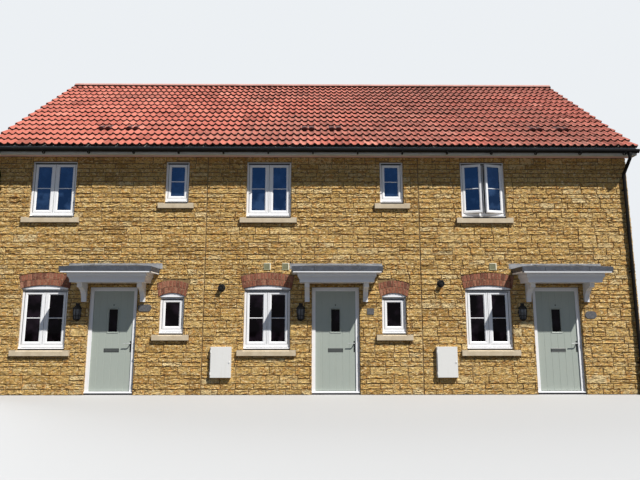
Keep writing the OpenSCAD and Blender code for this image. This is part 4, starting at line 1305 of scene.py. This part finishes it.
def vision_bead(shape, face, x, outer):
    """Raised bead frame round the vision panel."""
    section = on_leaf(
        outer, (0.0, 0.0), (0.003, 0.010), (0.010, 0.014), (0.018, 0.010), (0.026, 0.002),
        (0.030, -0.008), (0.024, -0.012), (0.0, -0.004),
    )
    box = (x - VISION_HALF - 0.028, x + VISION_HALF + 0.028, VISION_Z - 0.028, VISION_Z + VISION_H + 0.028)
    ring(shape, face, box, section)


def letter_plate(shape, face, x, outer):
    """Letter plate: a rounded rim, a flap on its hinge and a finger lip."""
    rim = on_leaf(outer, (0.0, 0.0), (0.002, 0.008), (0.007, 0.0105), (0.012, 0.0085), (0.014, 0.0))
    ring(shape, face, (x - LETTER_HALF, x + LETTER_HALF, LETTER_Z - 0.038, LETTER_Z + 0.038), rim)
    flap = on_leaf(
        outer, (-0.022, 0.002), (-0.022, 0.0075), (-0.016, 0.0095), (0.018, 0.006), (0.022, 0.002),
    )
    flap_half = LETTER_HALF - 0.0165
    bar(shape, face, (x - flap_half, LETTER_Z), (x + flap_half, LETTER_Z), flap, upright=False)


def door_furniture(shape, lever, face, x, outer):
    """Lever on its long plate, with a lock cylinder under it, and a spy-hole over the panel."""
    plate = on_leaf(outer, (0.0, 0.0), (0.003, 0.006), (0.010, 0.008), (0.0149, 0.0085), (0.0149, 0.0))
    u, v = x + HANDLE_X, HANDLE_Z
    ring(shape, face, (u - 0.015, u + 0.015, v - 0.175, v + 0.045), plate)
    forward = face.out * (1 if outer else -1)

    def round_part(across, above, height, *profile):
        """A turned part that starts at a height over the leaf's face; gives its start."""
        start = face.at(across, -on_leaf(outer, (0.0, height))[0][1], above)
        turned(shape, start, forward, face.right, profile, 20)
        return start

    start = round_part(u, v, 0.005, (0.0, 0.0), (0.014, 0.0), (0.014, 0.006), (0.011, 0.009),
                       (0.009, 0.03), (0.0, 0.03))
    neck = start + forward * 0.026
    bend = neck + forward * 0.04
    path = smooth_arc([neck, bend, bend - face.right * 0.13 + np.array([0, 0, -0.004])], 0.02)
    radius = np.interp(np.linspace(0, 1, len(path)), [0, 0.3, 0.8, 1], [0.010625, 0.01, 0.009, 0.00775])
    tube(lever, path, radius, 12, side=(0, 0, 1))
    round_part(u, v - 0.105, 0.006, (0.0, 0.0), (0.0095, 0.0), (0.0095, 0.006), (0.008, 0.008),
               (0.0, 0.008))
    round_part(x, VISION_Z + VISION_H + 0.085, 0.0, (0.0, 0.0), (0.013, 0.0), (0.013, 0.004),
               (0.009, 0.008), (0.005, 0.006), (0.0, 0.006))


def door_hinges(shape, x):
    """Three hinges on the inner side of a leaf: a barrel with rounded ends beside its plate."""
    barrel = [(0.0, 0.0), (0.006, 0.0), (0.007, 0.002), (0.007, 0.098), (0.006, 0.1), (0.0, 0.1)]
    for z in HINGE_ZS:
        centre = FRONT.at(x - LEAF_HALF - 0.003, -(REVEAL + FRAME_D + 0.0075), z)
        turned(shape, centre, (0, 0, 1), (1, 0, 0), barrel, 20)
        block(shape, centre + (0.004, -0.0065, 0.0), centre + (0.052, -0.0015, 0.1))


for k, x in enumerate(door_xs):
    body = f"door_{k + 1}"
    skin, bead, plate, iron, lever = (Shape() for _ in range(5))
    for outer in (True, False):
        door_boards(skin, FRONT, x, outer)
        vision_bead(bead, FRONT, x, outer)
        letter_plate(plate, FRONT, x, outer)
        door_furniture(iron, lever, FRONT, x, outer)
    door_hinges(iron, x)
    piece(f"{body}_boards", skin, DOOR, body)
    piece(f"{body}_vision_bead", bead, DOOR, body)
    piece(f"{body}_letter_plate", plate, LETTER_GREY, body)
    piece(f"{body}_levers", lever, SATIN, body, smooth=True)
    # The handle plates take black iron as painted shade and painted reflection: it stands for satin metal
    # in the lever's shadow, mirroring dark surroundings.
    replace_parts(piece(f"{body}_handle_plates", iron, IRON, body), f"{body}_handles")


def door_sills():
    """Sill under each door: a white nose that stands out of the frame, over a black band of painted shade
    in the gap at the ground.
    """
    nose, gap = Shape(), Shape()
    for x in door_xs:
        half = DOOR_W / 2 - 0.002
        front, back = REVEAL - 0.034, REVEAL + 0.02
        section = [
            (0.03, back), (0.03, front + 0.004), (0.034, front), (0.05, front), (0.055, front + 0.006),
            (0.062, back),
        ]
        bar(nose, FRONT, (x - half, 0.0), (x + half, 0.0), section, upright=False)
        shade_strip(gap, FRONT, x - half, x + half, 0.001, 0.031, REVEAL - 0.02)
    piece("door_sills", nose, WHITE)
    piece("door_sill_shade_strips", gap, SEAL_AND_SHADE_BLACK)


door_sills()


# Canopies
def flashing_strip(shape, x):
    """Lead dressed over the stones above a canopy: a grid over (u, v) that swells a little at random,
    in three lapped lengths, each with a turned edge at top and bottom."""
    u_ends = np.linspace(x - FLASHING_HALF, x + FLASHING_HALF, 4)
    for k, (a, b) in enumerate(zip(u_ends, u_ends[1:])):
        u = np.linspace(a - 0.02 * (k > 0), b, 17)
        v = np.array([0.0, 0.0, 0.03, 0.35, 0.65, 0.97, 1.0, 1.0])[:, None]
        w = 0.0085 + 0.0022 * k + rng.normal(0, 0.0012, (8, 17))
        w[[1, 6]] += 0.002
        w[0] = w[-1] = 0.0
        w[:, 0] = w[:, -1] = 0.004
        height = FLASHING_Z[0] + v * (FLASHING_Z[1] - FLASHING_Z[0]) + 0 * u
        shape.add(FRONT.at(u + 0 * v, w, height), grid_quads(8, 17))


def canopy_lip(shape, x, reach):
    """White bead round three sides under a canopy's lead: each length is a box that is mitred in plan,
    from the canopy's own faces out to reach in front and as far out at the sides."""
    half, inner_half = CANOPY_W / 2 + reach - CANOPY_OUT, CANOPY_W / 2 - 0.004
    share = inner_half / half
    z0, z1 = CANOPY_Z + CANOPY_H - LIP_H + 0.001, CANOPY_Z + CANOPY_H - 0.0015
    quads = [[0, 1, 2, 3], [5, 4, 7, 6], [1, 0, 4, 5], [3, 2, 6, 7], [0, 3, 7, 4], [2, 1, 5, 6]]
    sides = [
        [(-half, reach), (half, reach)], [(-half, 0.02), (-half, reach)], [(half, reach), (half, 0.02)],
    ]
    for k, outer in enumerate(sides):
        inner = [(u * share, w if k else CANOPY_OUT - 0.004) for u, w in outer]
        points = []
        for line in (outer, inner):
            loop = zip((*line, *line[::-1]), (z0, z0, z1, z1))
            points += [FRONT.at(x + u, w, z) for (u, w), z in loop]
        shape.add(np.array(points), quads)


def canopy_details():
    """Lead drip roll round each canopy with two seams over its top, the flashing, and the lip bead."""
    roll, flashing, lip = Shape(), Shape(), Shape()
    out = FRONT_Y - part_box("canopy_roofs")[0].y
    edge_z = CANOPY_Z + CANOPY_H
    half = CANOPY_W / 2 + 0.025
    seam = ((out + 0.002, 0.01), (out - 0.002, 0.086), (out * 0.5, 0.128), (0.012, 0.165))
    for h in HOUSES:
        x = h * BAY + CANOPY_X
        corners = [(x - half, 0.004), (x - half, out), (x + half, out), (x + half, 0.004)]
        path = [FRONT.at(u, w, edge_z + 0.006) for u, w in corners]
        tube(roll, smooth_arc(path, 0.02), 0.006, 10, side=(0, 0, 1))
        flashing_strip(flashing, x)
        canopy_lip(lip, x, out - 0.003)
        for share in (-0.25, 0.25):
            path = [FRONT.at(x + share * CANOPY_W, w, edge_z + rise) for w, rise in seam]
            tube(roll, smooth_arc(path, 0.012, 4), 0.008, 8)
    piece("canopy_drip_rolls", roll, LEAD, smooth=True)
    piece("canopy_flashings", flashing, FLASHING, closed=False)
    piece("canopy_lip_beads", lip, WHITE)


canopy_details()


# Rainwater goods
PIPE_R = 0.034
GUTTER_Y = 0.374
PIPE_Y = 0.066
SOCKET_H, STRAP_H = 0.07, 0.03
STRAP_ZS = (0.6, 2.4, 4.1)
CLIP_COUNT, CLIP_HALF = 15, 0.0125


def pipe_band(shape, face, x, z, height, proud, round_off, upper):
    """A band round a downpipe: it stands out by proud, and its edges are rounded by round_off at its
    lower end and by upper at its top."""
    r, inner = PIPE_R + proud, PIPE_R - round_off
    profile = [(inner, 0.0), (r, round_off), (r, height - upper), (inner, height)]
    turned(shape, face.at(x, PIPE_Y, z), (0, 0, 1), face.right, profile, 20)


def downpipes():
    """Each downpipe is a circle carried down its swan neck and round its shoe, with a socket at each joint
    and a strap at each bracket."""
    shape = Shape()
    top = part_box("downpipes")[1].z
    legs = [(GUTTER_Y, top), (GUTTER_Y, top - 0.06), (PIPE_Y, top - 0.33), (PIPE_Y, 0.13)]
    legs.append((PIPE_Y + 0.09, 0.06))
    for face in (FRONT, REAR):
        for x in (0.08 - END_X, END_X - 0.08):
            path = smooth_arc([face.at(x, w, v) for w, v in legs], 0.05)
            tube(shape, path, PIPE_R, 20, side=face.right)
            for z in (top - 0.42, 2.42, 0.17):
                pipe_band(shape, face, x, z, SOCKET_H, 0.006, 0.002, 0.004)
            for z in STRAP_ZS:
                pipe_band(shape, face, x, z, STRAP_H, 0.004, 0.001, 0.001)
                for side in (-1, 1):
                    a = face.at(x + side * 0.036, 0.001, z + 0.002)
                    b = face.at(x + side * 0.052, PIPE_Y * 0.95, z + 0.028)
                    block(shape, np.minimum(a, b), np.maximum(a, b))
    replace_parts(piece("downpipe_runs", shape, GUTTER), "downpipes")


downpipes()


def gutter_brackets():
    """Clips under the gutters: half rings 25 mm wide, about every 0.9 m."""
    shape = Shape()
    centre_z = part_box("gutters")[0].z + 0.056
    turn = np.linspace(np.pi, 2 * np.pi, 17)
    first, inner, outer, wide = VERGE_X - 0.3, 0.0565, 0.0605, CLIP_HALF
    for face in (FRONT, REAR):
        for x in np.linspace(-first, first, CLIP_COUNT):
            corners = [(x - wide, inner), (x + wide, inner), (x + wide, outer), (x - wide, outer)]
            points = np.stack([
                face.at(u, GUTTER_Y + r * np.cos(turn), centre_z + r * np.sin(turn)) for u, r in corners
            ])
            shape.add(points, grid_quads(4, len(turn), True, False))
            for end in (0, -1):
                shape.add(points[:, end], [[0, 1, 2, 3]])
    piece("gutter_brackets", shape, GUTTER)


gutter_brackets()


# Fittings on the wall
def vent_highlight_rims():
    """Pale raised rim along the right side and the top of each wall vent, the sides that face the key lamp:
    a painted highlight.
    """
    shape = Shape()
    for x, z in VENTS:
        block_on(shape, FRONT, (x + 0.052, 0.004, z - 0.069), (x + 0.0705, 0.024, z + 0.071))
        block_on(shape, FRONT, (x - 0.069, 0.004, z + 0.0585), (x + 0.052, 0.0235, z + 0.0705))
    piece("vent_highlight_rims", shape, VENT_HIGHLIGHT)


vent_highlight_rims()


LANTERN_CAP = [
    (0.0, 0.344), (0.01, 0.342), (0.014, 0.332), (0.022, 0.322), (0.04, 0.31), (0.06, 0.292),
    (0.079, 0.268), (0.089, 0.25), (0.089, 0.236), (0.072, 0.232), (0.0, 0.232),
]
LANTERN_FOOT = [
    (0.0, 0.008), (0.016, 0.0), (0.03, 0.01), (0.05, 0.018), (0.064, 0.032), (0.066, 0.044), (0.0, 0.044),
]
LANTERN_PANE = [(0.06, 0.04), (0.074, 0.1), (0.08, 0.17), (0.078, 0.234)]
LANTERN_BAND = [(0.066, 0.098), (0.0775, 0.098), (0.0785, 0.11), (0.066, 0.11)]
LANTERN_RIB = [(0.065, 0.036), (0.078, 0.1), (0.084, 0.17), (0.082, 0.238)]


def lanterns():
    """Half lanterns: profiles of (radius, height) turned by half a turn in front of a back plate, as a
    domed cap, a foot, a band and a pane, with five ribs."""
    iron, panes = Shape(), Shape()
    for h in HOUSES:
        x = h * BAY + LANTERN_X
        base = FRONT.at(x, 0.006, LANTERN_Z)
        low, high = (LANTERN_Z + rise for rise in LANTERN_BACK)
        block(iron, FRONT.at(x - LANTERN_HALF, 0.006, low), FRONT.at(x + LANTERN_HALF, 0.0, high))
        half = dict(sides=17, sweep=np.pi, start=np.pi)
        for profile in (LANTERN_CAP, LANTERN_FOOT, LANTERN_BAND):
            turned(iron, base, (0, 0, 1), (1, 0, 0), profile, **half)
        turned(panes, base, (0, 0, 1), (1, 0, 0), LANTERN_PANE, **half)
        for angle in np.linspace(np.pi, 2 * np.pi, 5):
            direction = np.array([math.cos(angle), math.sin(angle), 0])
            side = np.array([-math.sin(angle), math.cos(angle), 0])
            rib = [base + direction * r + (0, 0, v) for r, v in LANTERN_RIB]
            tube(iron, rib, 0.006, 8, side=side)
    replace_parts(piece("lantern_frames", iron, IRON), "wall_lanterns")
    piece("lantern_panes", panes, PANE, closed=False, smooth=True)


lanterns()


# Camera at the photograph's place
CAMERA_PLACE = (0.024, FRONT_Y - 12.26, 1.5)
CAMERA_PITCH = math.radians(10.253)
CAMERA_TURN = math.radians(0.576)
FOCAL_PIXELS = 600.0
IMAGE_W, IMAGE_H = 640, 480
CENTRE_ROW = 208.9

camera_data = bpy.data.cameras.new("camera")
camera_data.sensor_width = 36.0
camera_data.lens = FOCAL_PIXELS / IMAGE_W * camera_data.sensor_width
camera_data.shift_y = (CENTRE_ROW - IMAGE_H / 2) / IMAGE_W
camera = bpy.data.objects.new("camera", camera_data)
camera.location = CAMERA_PLACE
camera.rotation_euler = (math.pi / 2 + CAMERA_PITCH, 0.0, -CAMERA_TURN)
bpy.context.scene.collection.objects.link(camera)
bpy.context.scene.camera = camera


# Floor and light
def make_floor():
    """A plain floor, pale to the camera; other rays meet a darker one, so it lights the walls gently."""
    mesh = bpy.data.meshes.new("floor")
    reach = 60.0
    corners = [(-reach, -reach, 0), (reach, -reach, 0), (reach, reach, 0), (-reach, reach, 0)]
    mesh.from_pydata(corners, [], [(0, 1, 2, 3)])
    f = Finish("pale_floor", 0.9)
    seen = f.node("ShaderNodeLightPath").outputs["Is Camera Ray"]
    mesh.materials.append(f.done(f.mix(seen, (0.088, 0.083, 0.077), (0.48, 0.48, 0.475))))
    floor = bpy.data.objects.new("floor", mesh)
    bpy.context.scene.collection.objects.link(floor)


make_floor()


def make_sun(name, toward, energy, angle, colour):
    """A distant lamp whose light travels along toward."""
    data = bpy.data.lights.new(name, "SUN")
    data.energy, data.angle, data.color = energy, math.radians(angle), colour
    lamp = bpy.data.objects.new(name, data)
    lamp.rotation_euler = Vector(toward).to_track_quat("-Z", "Y").to_euler()
    bpy.context.scene.collection.objects.link(lamp)


make_sun("key_lamp", (-0.86, 1.0, -1.62), 5.5, 0.8, (1.0, 0.97, 0.92))
make_sun("rear_fill_lamp", (0.9, -1.0, -0.75), 1.9, 40, (0.93, 0.96, 1.0))


def make_world():
    """A soft bluish light from all round; the camera, glass and metal see a plain pale backdrop."""
    world = bpy.data.worlds.new("studio")
    bpy.context.scene.world = world
    world.use_nodes = True
    tree = world.node_tree
    light = tree.nodes["Background"]
    light.inputs["Color"].default_value = (0.4, 0.62, 1.0, 1.0)
    light.inputs["Strength"].default_value = 0.27
    seen = tree.nodes.new("ShaderNodeBackground")
    seen.inputs["Color"].default_value = (0.84, 0.87, 0.9, 1.0)
    seen.inputs["Strength"].default_value = 1.0
    paths = tree.nodes.new("ShaderNodeLightPath")
    share = paths.outputs["Is Camera Ray"]
    for ray in ("Is Glossy Ray", "Is Transmission Ray"):
        either = tree.nodes.new("ShaderNodeMath")
        either.operation = "MAXIMUM"
        tree.links.new(share, either.inputs[0])
        tree.links.new(paths.outputs[ray], either.inputs[1])
        share = either.outputs[0]
    choose = tree.nodes.new("ShaderNodeMixShader")
    tree.links.new(share, choose.inputs[0])
    tree.links.new(light.outputs[0], choose.inputs[1])
    tree.links.new(seen.outputs[0], choose.inputs[2])
    tree.links.new(choose.outputs[0], tree.nodes["World Output"].inputs["Surface"])


make_world()
bpy.context.scene.view_settings.view_transform = "Standard"
